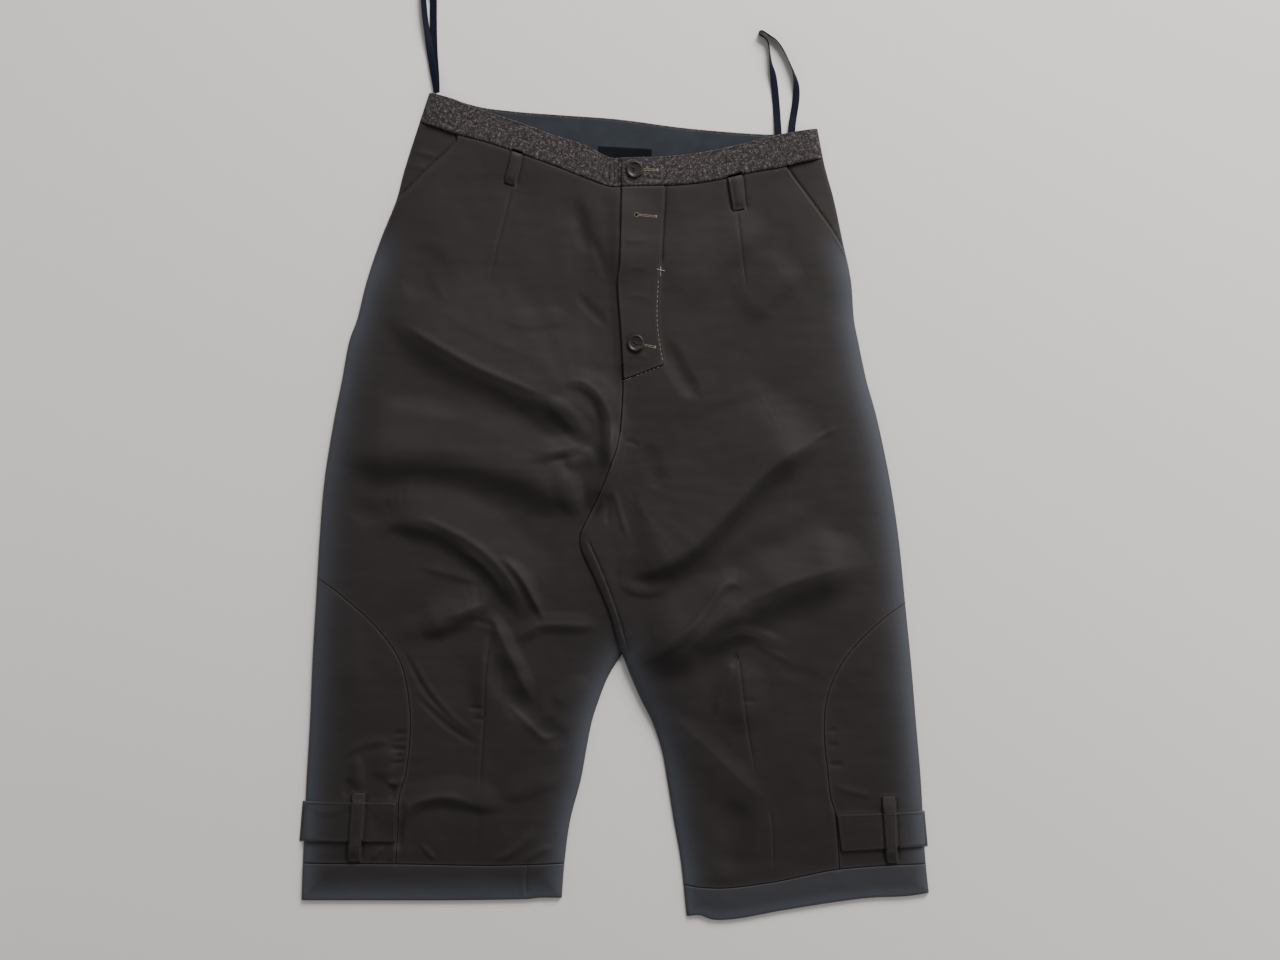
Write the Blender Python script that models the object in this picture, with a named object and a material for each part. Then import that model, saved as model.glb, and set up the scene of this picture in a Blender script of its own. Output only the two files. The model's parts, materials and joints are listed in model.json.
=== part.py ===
"""Drop-crotch trousers, laid flat on a table with the front side up.

Every piece is one ply of cloth.  The back plies lie on the table.  The front plies lie on them as one
shared surface, which is low at the outline, swells over the legs and carries the largest folds.  That
surface is cut along the seams into the sewn pieces, and what lies on a piece is made from its points.

Plan positions are (across, down) in millimetres on the table, across to the right and down to the hem.
The object's frame has +X to the right, +Y to the waist and +Z up, with its origin on the table under
the middle of the trousers.  "Right" and "left" are the wearer's: the right leg lies at low across.
"""

from dataclasses import dataclass
import math

import bpy
import numpy as np
from mathutils.geometry import delaunay_2d_cdt

MM = 0.001
CENTRE = (614.5, 505.5)     # (across, down) of the origin

PLY = 1.4                   # cloth wall, measured straight up
BACK_PLY = 1.2              # flat plies of the back
BAND_PLY = 2.0              # tweed band with its interfacing
FACING_PLY = 1.0
LABEL_PLY = 0.7
TAB_PLY = 1.6
GAP = 0.3                   # between plies, and across every seam

EDGE_Z = BACK_PLY + GAP     # the front ply's underside at the outline
EDGE_ROLL = 15.0            # how far in the edge rounds off
FOLD_START = 11.0           # folds grow from the outline over this length
BAND_LIFT = 2.3             # the band stands over the facing and the label
SEAM_LIFT = 2.0             # the fronts rise towards the thick band
CLOSING_LIFT = PLY + GAP    # the left front lies over the right front
CROTCH_ROLL = 3.5           # rounded edge of the left leg over the right leg

SEAM_STEP = 13.0            # spacing of the mesh along seams and outlines
FOLD_STEP = 11.0            # and along folds
FOLD_CLEAR = 7.0            # rows of points beside folds keep this far apart
LATTICE_STEP = 19.0         # and between them

BUTTON_RADIUS = 8.5
BUTTON_HEIGHT = 2.8
RIBBON_WIDTH = 7.0
RIBBON_PLY = 0.9
RIBBON_STEP = 2.2           # spacing of its sections

BODY_CLOTH = (0.030, 0.026, 0.023)
TWEED = (0.065, 0.055, 0.050)
FACING = (0.040, 0.046, 0.056)
LABEL = (0.010, 0.010, 0.011)
HORN = (0.045, 0.033, 0.028)
RIBBON = (0.016, 0.018, 0.034)

# How far the front swells over the back at each height, away from the outline.
PUFF = (
    # down, puff
    (90, 2.0),
    (185, 4.0),
    (260, 9.0),
    (400, 14.0),
    (580, 14.0),
    (720, 11.0),
    (820, 6.5),
    (865, 3.5),
    (920, 2.5),
)

# Outer edges of the two legs, a row for each height.
SIDES = (
    # down, right side, left side
    (165, 406.0, 824.5),
    (200, 396.5, 834.0),
    (240, 380.5, 842.5),
    (280, 367.0, 851.0),
    (318, 357.5, 854.0),
    (342, 349.0, 858.5),
    (380, 342.0, 866.5),
    (420, 334.0, 877.5),
    (480, 324.5, 890.0),
    (540, 319.5, 899.0),
    (600, 316.0, 905.0),
    (660, 312.5, 911.0),
    (720, 310.0, 916.0),
    (780, 306.5, 921.0),
    (840, 303.8, 924.2),
    (870, 302.5, 926.5),
)

# Inner edges below the crotch, a row for each height.
INSEAMS = (
    # down, right leg, left leg
    (676, 608.5, 630.5),
    (700, 599.0, 641.0),
    (722, 592.0, 652.0),
    (750, 586.5, 661.5),
    (780, 581.0, 667.0),
    (820, 570.5, 673.5),
    (860, 565.0, 680.5),
)

CROTCH = (622.0, 654.0)     # where the gap between the legs ends
WAIST_RIGHT = (429.5, 92.5)
WAIST_LEFT = (817.5, 128.5)
HEM_OUT_RIGHT, HEM_IN_RIGHT = (301.5, 900.0), (562.0, 897.5)
HEM_OUT_LEFT, HEM_IN_LEFT = (929.0, 892.5), (686.5, 916.0)
FLY_TOP, FLY_SEAM = (621.5, 158.0), (621.5, 187.5)

# Upper edges, seams and edges that divide the front surface, as named curves.
CURVES = {
    "waist_right": (WAIST_RIGHT, (448, 96.5), (467, 105), (490, 113), (521, 123), (553, 135), (582, 144),
                    (601, 153.5), (611, 158), FLY_TOP),
    "waist_left": (FLY_TOP, (640, 157.5), (662, 157), (696, 153.5), (725, 148), (770, 137), (800, 130.5),
                   WAIST_LEFT),
    "waist_back": (WAIST_RIGHT, (448, 97.5), (480, 107), (520, 112), (560, 115), (620, 119.5), (680, 127.5),
                   (735, 132.5), (775, 134.5), (797, 131.5), WAIST_LEFT),
    "hem_right": (HEM_OUT_RIGHT, (360, 900), (450, 900), (522, 899), (540, 897.5), HEM_IN_RIGHT),
    "hem_left": (HEM_IN_LEFT, (700, 915), (714, 919.5), (740, 918), (786, 909.5), (860, 898.5), (905, 896),
                 HEM_OUT_LEFT),
    "band_seam_right": ((415, 121), (436, 128), (456, 135), (488, 143.5), (521, 154.5), (553, 166),
                        (586, 179), (608, 187), FLY_SEAM),
    "band_seam_left": (FLY_SEAM, (640, 187), (662, 186.5), (693, 184.5), (725, 179), (752, 173),
                       (779, 168.5), (805, 162.5), (827, 157.5)),
    "fly": (FLY_TOP, FLY_SEAM, (620, 260), (617.5, 285), (621, 334), (623.5, 380)),
    "centre_seam": ((623.5, 380), (621.5, 420), (617.5, 447), (607, 476), (599, 496), (589, 516),
                    (580, 535)),
    "crotch_edge": ((580, 535), (582, 550), (595, 578), (609, 611), (616.5, 637), CROTCH),
    "crotch_under": ((580, 535), (591, 551), (603.5, 578), (616, 611), (621.5, 637), CROTCH),
    "calf_seam_right": ((313, 576), (330, 586), (346, 598), (374, 623), (396, 651), (406, 676),
                        (411, 713), (410, 746), (406, 775), (399.8, 797), (398.6, 825), (397.2, 845),
                        (396, 865)),
    "calf_seam_left": ((909, 601), (887, 615), (864, 635), (844, 658), (830, 684), (824, 710),
                       (823.5, 738), (826.5, 767), (829.5, 794), (835, 816), (838, 850), (839, 871)),
    "hem_seam_right": ((298, 863), (402, 863.5), (486, 865), (570, 863)),
    "hem_seam_left": ((678, 883.5), (700, 887), (729, 887.5), (772, 882), (806, 875), (838, 869),
                      (887, 865), (933, 863.5)),
    "placket_side": ((664.5, 185), (662, 230), (660, 270), (658, 321), (664, 365)),
    "placket_end": ((664, 365), (621.5, 381)),
    "band_under": ((620.5, 161.5), (652, 161.5), (652, 183.5), (620.5, 183.5)),
    "fly_under": ((620.3, 192), (648, 192), (646, 300), (650, 366), (622, 366)),
    "pocket_right": ((456, 133), (455, 145), (426, 174), (410, 190), (393, 205)),
    "pocket_under_right": ((467, 137), (466, 150), (436, 184), (419, 201), (384, 226)),
    "pocket_left": ((787.5, 165), (788, 171.5), (810, 202.5), (832, 233), (849.5, 262)),
    "pocket_under_left": ((777, 168), (778.5, 176), (799.5, 208), (822, 242), (853, 281)),
}

# Straps and loops: four corners each, from the upper corner at low across and round.
PATCHES = {
    "belt_loop_right": ((512.5, 150), (522.5, 153), (514.8, 187), (504.3, 183.2)),
    "belt_loop_left": ((727, 177.2), (741, 173), (744.4, 209.6), (732.8, 212)),
    "ankle_tab_right": ((302.6, 800.6), (397.2, 801), (395.5, 841.4), (299.2, 841)),
    "ankle_tab_left": ((836, 813), (924.8, 810.5), (928.0, 845.8), (841, 851)),
    "tab_loop_right": ((353.3, 791.6), (366.5, 791.6), (360.4, 861), (348, 861)),
    "tab_loop_left": ((881, 795.2), (894, 795.2), (896.8, 862.3), (885.8, 862.8)),
}


# The three forms of a crest, and how far each is rounded.
SOFT = "a low round swell"
KEEN = "pinched along its line"
LEDGE = "climbed evenly, broken over and steep behind"
CREST_RADIUS = {SOFT: 0.5, KEEN: 0.8, LEDGE: 4.0}


@dataclass(frozen=True)
class Fold:
    """A fold along a crest, with its steep side to the hem and its gentle side to the waist.

    The line runs from low to high across, or downwards with the steep side at low across.  A negative
    height is a trough.  All lengths are millimetres.
    """

    name: str
    height: float
    gentle: float
    steep: float
    line: tuple
    crest: str = SOFT
    taper: float = 0.3      # share of the line over which each end rises

    def rise(self, points):
        """How much the fold lifts each (across, down) point."""
        dist, side, along = nearest(points, spline(self.line, 6.0))
        ends = smooth_step(along / self.taper) * smooth_step((1.0 - along) / self.taper)
        width = np.where(side > 0, self.steep, self.gentle) * (0.45 + 0.55 * ends)
        radius = CREST_RADIUS[self.crest]
        t = np.clip((np.hypot(dist, radius) - radius) / width, 0.0, 1.0)
        if self.crest == SOFT:
            shape = 0.5 + 0.5 * np.cos(math.pi * t)
        elif self.crest == KEEN:
            shape = (1.0 - t) ** 2
        else:
            climb = np.where(t < 0.7, 1.0 - t / 0.85, 0.1765 * ((1.0 - t) / 0.3) ** 2)
            shape = np.where(side > 0, (1.0 - t) ** 3 * (1.0 + 3.0 * t), climb)
        return self.height * ends * shape


FOLDS = (
    # name, height, gentle, steep, line, crest, taper
    Fold("hip drag, right", 10, 92, 36, ((384, 309), (420, 332), (460, 357), (500, 377), (545, 398),
         (575, 419), (597, 442)), LEDGE, 0.25),
    Fold("crotch ring", 5.5, 20, 11, ((548, 392), (562, 385), (580, 384.5), (596, 393), (606, 410),
         (610.5, 435), (609, 462), (601, 490), (590, 520)), LEDGE, 0.35),
    Fold("crotch blob", 4, 12, 13, ((552, 402), (580, 410), (597, 430))),
    Fold("finger", 2.6, 14, 9, ((528, 457), (560, 451), (594, 444)), LEDGE, 0.35),
    Fold("crotch hollow", -7, 12, 12, ((602, 446), (598, 478), (588, 512))),
    Fold("thigh drag, right", 10, 68, 38, ((334, 457), (400, 457), (450, 460), (490, 467), (530, 478),
         (560, 494), (584, 516)), LEDGE, 0.2),
    Fold("thigh bump", 3.5, 16, 20, ((558, 462), (570, 488), (580, 520)), SOFT, 0.4),
    Fold("knee arc, right", 7, 48, 21, ((376, 529), (395, 521), (415, 520), (450, 531), (480, 551),
         (505, 573), (519, 598), (526, 624)), LEDGE, 0.22),
    Fold("knee arc, inner", 3.2, 11, 8, ((498, 554), (520, 573), (534, 598), (545, 622)), KEEN),
    Fold("dart tip, outer", 5, 28, 17, ((420, 634), (455, 616), (478, 606), (493, 609)), LEDGE),
    Fold("dart tip, inner", 5, 14, 26, ((486, 606), (500, 629), (516, 656), (530, 682), (546, 706)),
         LEDGE),
    Fold("dart hollow, right", -3.6, 24, 22, ((498, 650), (514, 688), (542, 728)), SOFT, 0.35),
    Fold("dart ridge, right", 2.2, 14, 20, ((489, 630), (487, 670), (485, 720)), LEDGE, 0.35),
    Fold("inner crease", 2.2, 12, 9, ((512, 643), (531, 630), (548, 624), (604, 626)), LEDGE),
    Fold("low fold, right", 3, 22, 10, ((399, 838), (403, 816), (414, 804), (434, 797), (460, 798),
         (486, 803), (508, 806)), LEDGE, 0.2),
    Fold("fly swell, right", 1.6, 20, 16, ((582, 184), (594, 222), (609, 264)), SOFT, 0.4),
    Fold("knee drag, left", 12, 80, 26, ((622, 574), (660, 563), (687, 548), (712, 525), (735, 500),
         (760, 472), (787, 453), (826, 435)), LEDGE, 0.2),
    Fold("second drag, left", 2.4, 26, 24, ((690, 575), (740, 544), (790, 520), (818, 498))),
    Fold("calf drag, left", 12.5, 50, 32, ((640, 668), (665, 658), (690, 641), (715, 622), (745, 603),
         (780, 586), (820, 573), (872, 558)), LEDGE, 0.2),
    Fold("drag peak", 4, 22, 10, ((636, 664), (664, 648), (690, 625), (708, 603), (722, 585), (736, 582),
         (746, 590)), LEDGE, 0.25),
    Fold("dart tip, left", 3.4, 16, 13, ((692, 656), (718, 641), (742, 633), (762, 637), (792, 648)),
         LEDGE),
    Fold("dart ridge, left", 3.5, 26, 34, ((737, 652), (741, 690), (748, 735)), LEDGE, 0.35),
    Fold("calf ridge, left", 2.4, 22, 36, ((664, 712), (700, 748), (735, 780), (768, 806))),
    Fold("pocket drag, left", 3.2, 46, 26, ((686, 320), (700, 287), (722, 256), (770, 220)), LEDGE),
    Fold("hip drag, left", 2.6, 40, 20, ((742, 324), (766, 298), (803, 266)), LEDGE),
    Fold("fly end drag", -2.2, 12, 14, ((664, 338), (678, 370), (699, 402))),
)


@dataclass
class Piece:
    """A sewn piece of the front: the cells it covers, its wall and how high it lies."""

    name: str
    colour: tuple
    cells: tuple
    ply: float
    level: object
    on: tuple = ()


def plan(point):
    """Turn an (across, down) position into X and Y of the object's frame, both in millimetres."""
    return (point[0] - CENTRE[0], CENTRE[1] - point[1])


def smooth_step(value):
    """Ease from 0 to 1, with flat ends."""
    t = np.clip(value, 0.0, 1.0)
    return t * t * (3.0 - 2.0 * t)


def spline(points, step):
    """Read a Catmull-Rom curve through the points at even steps, keeping both ends.

    Args:
        points: Its points, with any number of columns.
        step: Spacing in millimetres, measured in the first two columns.

    Returns:
        The points along it.
    """
    knots = np.array([points[0], *points, points[-1]], dtype=float)
    dense = []
    for i in range(1, len(knots) - 2):
        a, b, c, d = knots[i - 1:i + 3]
        t = np.linspace(0.0, 1.0, 24, endpoint=False)[:, None]
        dense.append(0.5 * (2 * b + (c - a) * t + (2 * a - 5 * b + 4 * c - d) * t ** 2
                            + (3 * b - a - 3 * c + d) * t ** 3))
    path = np.vstack([*dense, knots[-1:]])
    run = np.concatenate([[0.0], np.cumsum(np.linalg.norm(np.diff(path[:, :2], axis=0), axis=1))])
    stops = np.linspace(0.0, run[-1], max(2, round(run[-1] / step) + 1))
    return np.column_stack([np.interp(stops, run, path[:, k]) for k in range(path.shape[1])])


def nearest(points, line):
    """Measure points against a line.

    Args:
        points: (n, 2) positions.
        line: (m, 2) points of the line.

    Returns:
        Distance to the line, side (+1 on the hem side of a line that runs to high across) and place
        along it from 0 to 1, each for every point.
    """
    start, run = line[:-1], np.diff(line, axis=0)
    size = np.linalg.norm(run, axis=1)
    rel = points[:, None, :] - start[None]
    t = np.clip((rel * run).sum(2) / np.maximum(size ** 2, 1e-9), 0.0, 1.0)
    off = rel - t[..., None] * run[None]
    dist = np.linalg.norm(off, axis=2)
    best = dist.argmin(1)
    rows = np.arange(len(points))
    cross = run[best, 0] * rel[rows, best, 1] - run[best, 1] * rel[rows, best, 0]
    begin = np.concatenate([[0.0], np.cumsum(size)])
    along = (begin[best] + t[rows, best] * size[best]) / begin[-1]
    return dist[rows, best], np.where(cross >= 0, 1.0, -1.0), along


def near_curve(points, name):
    """Distance of the points from a named curve."""
    return nearest(points, LINES[name])[0]


def leg_side(column, top, bottom):
    """Outer edge of one leg from the waist to the hem."""
    return (top, *((row[column], row[0]) for row in SIDES), bottom)


def inseam(column, bottom):
    """Inner edge of one leg from the crotch to the hem."""
    return (CROTCH, *((row[column], row[0]) for row in INSEAMS), bottom)


def front_lines():
    """All curves of the front surface, as evenly stepped lines."""
    lines = {name: spline(points, SEAM_STEP) for name, points in CURVES.items()}
    for name in ("band_under", "fly_under", "placket_end"):
        lines[name] = np.array(CURVES[name], dtype=float)
    lines["fly"] = np.vstack([np.array(CURVES["fly"][:1]), spline(CURVES["fly"][1:], SEAM_STEP)])
    lines["side_right"] = spline(leg_side(1, WAIST_RIGHT, HEM_OUT_RIGHT), SEAM_STEP)
    lines["side_left"] = spline(leg_side(2, WAIST_LEFT, HEM_OUT_LEFT), SEAM_STEP)
    lines["inseam_right"] = spline(inseam(1, HEM_IN_RIGHT), SEAM_STEP)
    lines["inseam_left"] = spline(inseam(2, HEM_IN_LEFT), SEAM_STEP)
    for name, corners in PATCHES.items():
        ring = [*corners, corners[0]]
        sides = [spline((ring[k], ring[k + 1]), 16.0) for k in range(4)]
        lines[name] = np.vstack([side[:-1] for side in sides] + [np.array([corners[0]], dtype=float)])
    return lines


LINES = front_lines()
SILHOUETTE = ("side_right", "side_left", "inseam_right", "inseam_left", "hem_right", "hem_left")


def outline_depth(points):
    """How far in each point lies from the edge of the front surface, negative outside it."""
    dist = np.min([near_curve(points, name) for name in (*SILHOUETTE, "waist_right", "waist_left")],
                  axis=0)
    rim_right, rim_left = nearest(points, LINES["side_right"]), nearest(points, LINES["side_left"])
    outside = ((rim_right[1] > 0) & (rim_right[0] < 5)) | ((rim_left[1] < 0) & (rim_left[0] < 5))
    return np.where(outside, -dist, dist)


def front_height(points):
    """Underside of the shared front surface over the table, in millimetres."""
    depth = outline_depth(points)
    puff = np.interp(points[:, 1], [row[0] for row in PUFF], [row[1] for row in PUFF])
    height = EDGE_Z + puff * (1.0 - np.exp(-np.maximum(depth, 0.0) / EDGE_ROLL))
    grown = 1.0 - np.exp(-np.maximum(depth, 0.0) / FOLD_START)
    height = height + grown * sum(fold.rise(points) for fold in FOLDS)
    height = np.maximum(height, EDGE_Z)
    return np.where(depth < 0, EDGE_Z + 1.36 * depth, height)


def band_level(points):
    """The band stands over the facing, but comes down to the back band at the two sides."""
    side = np.minimum(near_curve(points, "side_right"), near_curve(points, "side_left"))
    return BAND_LIFT * smooth_step(side / 12.0)


def closing_level(points):
    """The left front lies over the right front along the fly, the centre seam and the crotch."""
    dist = np.min([near_curve(points, name) for name in ("fly", "centre_seam", "crotch_edge")], axis=0)
    roll = near_curve(points, "crotch_edge")
    return (CLOSING_LIFT * smooth_step((100.0 - dist) / 52.0)
            + CROTCH_ROLL * (1.0 - np.exp(-roll / 5.0)) * np.exp(-roll / 26.0))


def front_level(points, side):
    """A front lies over its pocket facing and rises towards the band."""
    pocket = near_curve(points, "pocket_" + side)
    band = near_curve(points, "band_seam_" + side)
    return np.maximum((PLY + GAP) * smooth_step((56.0 - pocket) / 40.0),
                      SEAM_LIFT * smooth_step((42.0 - band) / 42.0))


def flat_level(points):
    """A piece that follows the shared surface as it is."""
    return np.zeros(len(points))


# A place in each cell of the front surface.
CELLS = {
    "band_r": (480, 125), "band_l": (700, 168), "band_l_under": (636, 172), "band_l_right_of": (658, 172),
    "facing_r": (415, 160), "under_r": (440, 176), "front_r": (520, 320), "loop_r": (513, 170),
    "facing_l": (820, 190), "under_l": (800, 204), "front_l": (740, 400), "loop_l": (737, 195),
    "fly_under": (635, 280), "placket": (655, 280), "placket_foot": (640, 371),
    "crotch_under": (606, 590), "calf_r": (340, 700), "tab_r": (325, 820), "tab_r_in": (380, 820),
    "tab_r_rim": (302.2, 822), "tab_r_mid": (357, 820), "loop_r_top": (359, 796), "loop_r_foot": (355, 850),
    "calf_r_foot": (325, 852), "calf_r_foot_in": (376, 852),
    "calf_l": (880, 700), "tab_l": (860, 830), "tab_l_out": (912, 830), "tab_l_rim": (925.3, 835),
    "tab_l_mid": (889, 830), "loop_l_top": (888, 802), "loop_l_foot": (891, 856),
    "hem_r": (430, 880), "hem_l": (800, 890),
}

PIECES = (
    Piece("pocket_facing_right", BODY_CLOTH, ("facing_r", "under_r"), PLY, flat_level),
    Piece("pocket_facing_left", BODY_CLOTH, ("facing_l", "under_l"), PLY, flat_level),
    Piece("waistband_front_right", TWEED, ("band_r", "band_l_under"), BAND_PLY, band_level),
    Piece("front_panel_right", BODY_CLOTH, ("front_r", "under_r", "loop_r", "fly_under", "crotch_under"),
          PLY, lambda points: front_level(points, "right")),
    Piece("side_panel_right", BODY_CLOTH, ("calf_r", "tab_r", "tab_r_in", "tab_r_mid", "loop_r_top",
                                           "loop_r_foot", "calf_r_foot", "calf_r_foot_in"), PLY, flat_level),
    Piece("side_panel_left", BODY_CLOTH, ("calf_l", "tab_l", "tab_l_out", "tab_l_mid", "loop_l_top",
                                          "loop_l_foot"), PLY, flat_level),
    Piece("hem_band_front_right", BODY_CLOTH, ("hem_r",), BAND_PLY, flat_level),
    Piece("hem_band_front_left", BODY_CLOTH, ("hem_l",), BAND_PLY, flat_level),
    Piece("waistband_front_left", TWEED, ("band_l", "band_l_under", "band_l_right_of"), BAND_PLY,
          lambda points: band_level(points) + closing_level(points) + BAND_PLY - PLY,
          on=("waistband_front_right",)),
    Piece("front_panel_left", BODY_CLOTH, ("front_l", "under_l", "loop_l", "fly_under", "placket",
                                           "placket_foot", "crotch_under"), PLY,
          lambda points: front_level(points, "left") + closing_level(points),
          on=("front_panel_right",)),
    Piece("fly_placket", BODY_CLOTH, ("fly_under", "placket", "placket_foot"), PLY, flat_level,
          on=("front_panel_left",)),
    Piece("belt_loop_right", BODY_CLOTH, ("loop_r",), PLY, flat_level, on=("front_panel_right",)),
    Piece("belt_loop_left", BODY_CLOTH, ("loop_l",), PLY, flat_level, on=("front_panel_left",)),
    Piece("ankle_tab_right", BODY_CLOTH, ("tab_r_rim", "tab_r", "tab_r_mid", "tab_r_in"), TAB_PLY,
          flat_level, on=("side_panel_right",)),
    Piece("ankle_tab_left", BODY_CLOTH, ("tab_l", "tab_l_mid", "tab_l_out", "tab_l_rim"), TAB_PLY,
          flat_level, on=("side_panel_left",)),
    Piece("tab_loop_right", BODY_CLOTH, ("loop_r_top", "tab_r_mid", "loop_r_foot"), PLY, flat_level,
          on=("side_panel_right", "ankle_tab_right")),
    Piece("tab_loop_left", BODY_CLOTH, ("loop_l_top", "tab_l_mid", "loop_l_foot"), PLY, flat_level,
          on=("side_panel_left", "ankle_tab_left")),
)


def fabric(name, colour, roughness=0.9):
    """A Principled material in one colour."""
    material = bpy.data.materials.new(name)
    material.use_nodes = True
    shader = material.node_tree.nodes["Principled BSDF"]
    shader.inputs["Base Color"].default_value = (*colour, 1.0)
    shader.inputs["Roughness"].default_value = roughness
    shader.inputs["Metallic"].default_value = 0.0
    material.diffuse_color = (*colour, 1.0)
    return material


def add_object(name, vertices, faces, colour, roughness=0.9):
    """Add a named mesh object, given in millimetres."""
    mesh = bpy.data.meshes.new(name)
    mesh.from_pydata([tuple(MM * c for c in v) for v in vertices], [], [tuple(f) for f in faces])
    mesh.validate()
    mesh.materials.append(fabric(name, colour, roughness))
    piece = bpy.data.objects.new(name, mesh)
    bpy.context.collection.objects.link(piece)
    return piece


class Cut:
    """A plane area cut into cells by lines, with the triangles of each cell."""

    def __init__(self, lines, extra, cells):
        points, edges = [], []
        for line in lines:
            first = len(points)
            points.extend(plan(p) for p in line)
            edges.extend((first + k, first + k + 1) for k in range(len(line) - 1))
        points.extend(plan(p) for p in extra)
        verts, out_edges, faces, _, edge_source, _ = delaunay_2d_cdt(points, edges, [], 0, 1e-4, True)
        self.points = np.array([tuple(v) for v in verts])
        self.faces = [tuple(f) for f in faces]
        walls = {frozenset(e) for e, source in zip(out_edges, edge_source) if source}
        self.cells = self.flood(walls, cells)

    def flood(self, walls, cells):
        """Collect the triangles round each cell's place, stopping at the lines."""
        beside = {}
        for index, face in enumerate(self.faces):
            for k in range(3):
                beside.setdefault(frozenset((face[k], face[k - 1])), []).append(index)
        found = {}
        for name, place in cells.items():
            start = self.face_at(plan(place))
            seen, stack = {start}, [start]
            while stack:
                face = self.faces[stack.pop()]
                for k in range(3):
                    edge = frozenset((face[k], face[k - 1]))
                    for other in (() if edge in walls else beside[edge]):
                        if other not in seen:
                            seen.add(other)
                            stack.append(other)
            found[name] = seen
        return found

    def face_at(self, place):
        """The triangle that holds a place."""
        corners = self.points[np.array(self.faces)]
        edge = np.roll(corners, -1, axis=1) - corners
        to = np.array(place) - corners
        cross = edge[..., 0] * to[..., 1] - edge[..., 1] * to[..., 0]
        return int((cross.min(axis=1)).argmax())

    def table_points(self):
        """The points as (across, down)."""
        return np.column_stack([self.points[:, 0] + CENTRE[0], CENTRE[1] - self.points[:, 1]])

    def faces_of(self, cells):
        """The triangles of several cells, each once."""
        return [self.faces[i] for i in sorted(set().union(*(self.cells[name] for name in cells)))]


def drawn_in(points, faces, amount):
    """Move the edge of a set of triangles inwards, so that neighbours keep a gap."""
    directed = {(f[k], f[(k + 1) % 3]) for f in faces for k in range(3)}
    border = [(a, b) for a, b in directed if (b, a) not in directed]
    inward = {}
    for a, b in border:
        run = points[b] - points[a]
        normal = np.array([-run[1], run[0]]) / max(np.linalg.norm(run), 1e-9)
        for vertex in (a, b):
            inward.setdefault(vertex, []).append(normal)
    moved = points.copy()
    for vertex, normals in inward.items():
        mean = np.mean(normals, axis=0)
        size = max(np.linalg.norm(mean), 0.5)
        moved[vertex] = points[vertex] + amount * mean / size ** 2
    return moved, sorted(border)


def ply_object(name, points, faces, bottom, top, colour):
    """Close a set of triangles into one ply of cloth between two heights for each point."""
    moved, border = drawn_in(points, faces, 0.5 * GAP)
    used = sorted({v for f in faces for v in f})
    low = {v: k for k, v in enumerate(used)}
    high = {v: k + len(used) for k, v in enumerate(used)}
    vertices = [(*moved[v], bottom[v]) for v in used] + [(*moved[v], top[v]) for v in used]
    solid = [tuple(high[v] for v in f) for f in faces]
    solid += [tuple(low[v] for v in reversed(f)) for f in faces]
    for a, b in border:
        solid += [(low[a], low[b], high[b]), (low[a], high[b], high[a])]
    return add_object(name, vertices, solid, colour)


def mesh_places():
    """Points inside the front surface: along the folds, then an even lattice between them."""
    lines = list(LINES.values())
    groups = []
    for fold in FOLDS:
        line = spline(fold.line, FOLD_STEP)
        run = np.gradient(line, axis=0)
        run /= np.linalg.norm(run, axis=1)[:, None]
        across = np.column_stack([-run[:, 1], run[:, 0]])
        for offset in (0.0, 0.35 * fold.steep, 0.8 * fold.steep, -0.45 * fold.gentle, -0.85 * fold.gentle):
            groups.append((line + offset * across, FOLD_CLEAR))
    downs = np.arange(80.0, 930.0, LATTICE_STEP * 0.866)
    groups.append((np.array([(x + (k % 2) * LATTICE_STEP / 2, y) for k, y in enumerate(downs)
                             for x in np.arange(290.0, 940.0, LATTICE_STEP)]), 0.62 * LATTICE_STEP))
    kept = np.vstack(lines)
    count = len(kept)
    for group, spacing in groups:
        clear = np.min([nearest(group, line)[0] for line in lines], axis=0) > 0.6 * spacing
        for point in group[clear]:
            if np.min(np.hypot(*(kept - point).T)) > spacing:
                kept = np.vstack([kept, point])
    return kept[count:]


def build_front():
    """Cut the shared front surface into its sewn pieces and close each as a ply."""
    cut = Cut(list(LINES.values()), mesh_places(), CELLS)
    table = cut.table_points()
    base = front_height(table)
    tops = {}
    for piece in PIECES:
        faces = cut.faces_of(piece.cells)
        bottom = base + piece.level(table)
        used = {v for f in faces for v in f}
        for carrier in piece.on:
            for vertex in used & tops[carrier].keys():
                bottom[vertex] = max(bottom[vertex], tops[carrier][vertex] + GAP)
        if piece.name.startswith("ankle_tab"):
            depth = outline_depth(table)
            bottom = np.where(depth < -1.0, GAP, bottom)
        top = bottom + piece.ply
        tops[piece.name] = {v: top[v] for v in used}
        ply_object(piece.name, cut.points, faces, bottom, top, piece.colour)
    return cut, tops


def build_back():
    """The back lies flat on the table: band, two panels and the back halves of the hem bands."""
    names = ("side_right", "side_left", "inseam_right", "inseam_left", "hem_right", "hem_left",
             "hem_seam_right", "hem_seam_left", "waist_back")
    band = spline(((412, 123), (440, 128.5), (480, 138), (520, 143), (560, 146), (620, 150.5),
                   (680, 158.5), (735, 163.5), (775, 165), (800, 161), (828, 158)), SEAM_STEP)
    centre = np.array([(620.0, 146.0), (619.0, 400.0), (622.0, 654.0), (622.0, 656.0)])
    cells = {"waistband_back": (620, 135), "back_panel_right": (480, 500),
             "back_panel_left": (760, 500), "hem_band_back_right": (430, 880),
             "hem_band_back_left": (800, 895)}
    cut = Cut([*(LINES[name] for name in names), band, centre], [], cells)
    flat = np.zeros(len(cut.points))
    for name in cells:
        colour = TWEED if name == "waistband_back" else BODY_CLOTH
        ply_object(name, cut.points, cut.faces_of((name,)), flat, flat + BACK_PLY, colour)


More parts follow.
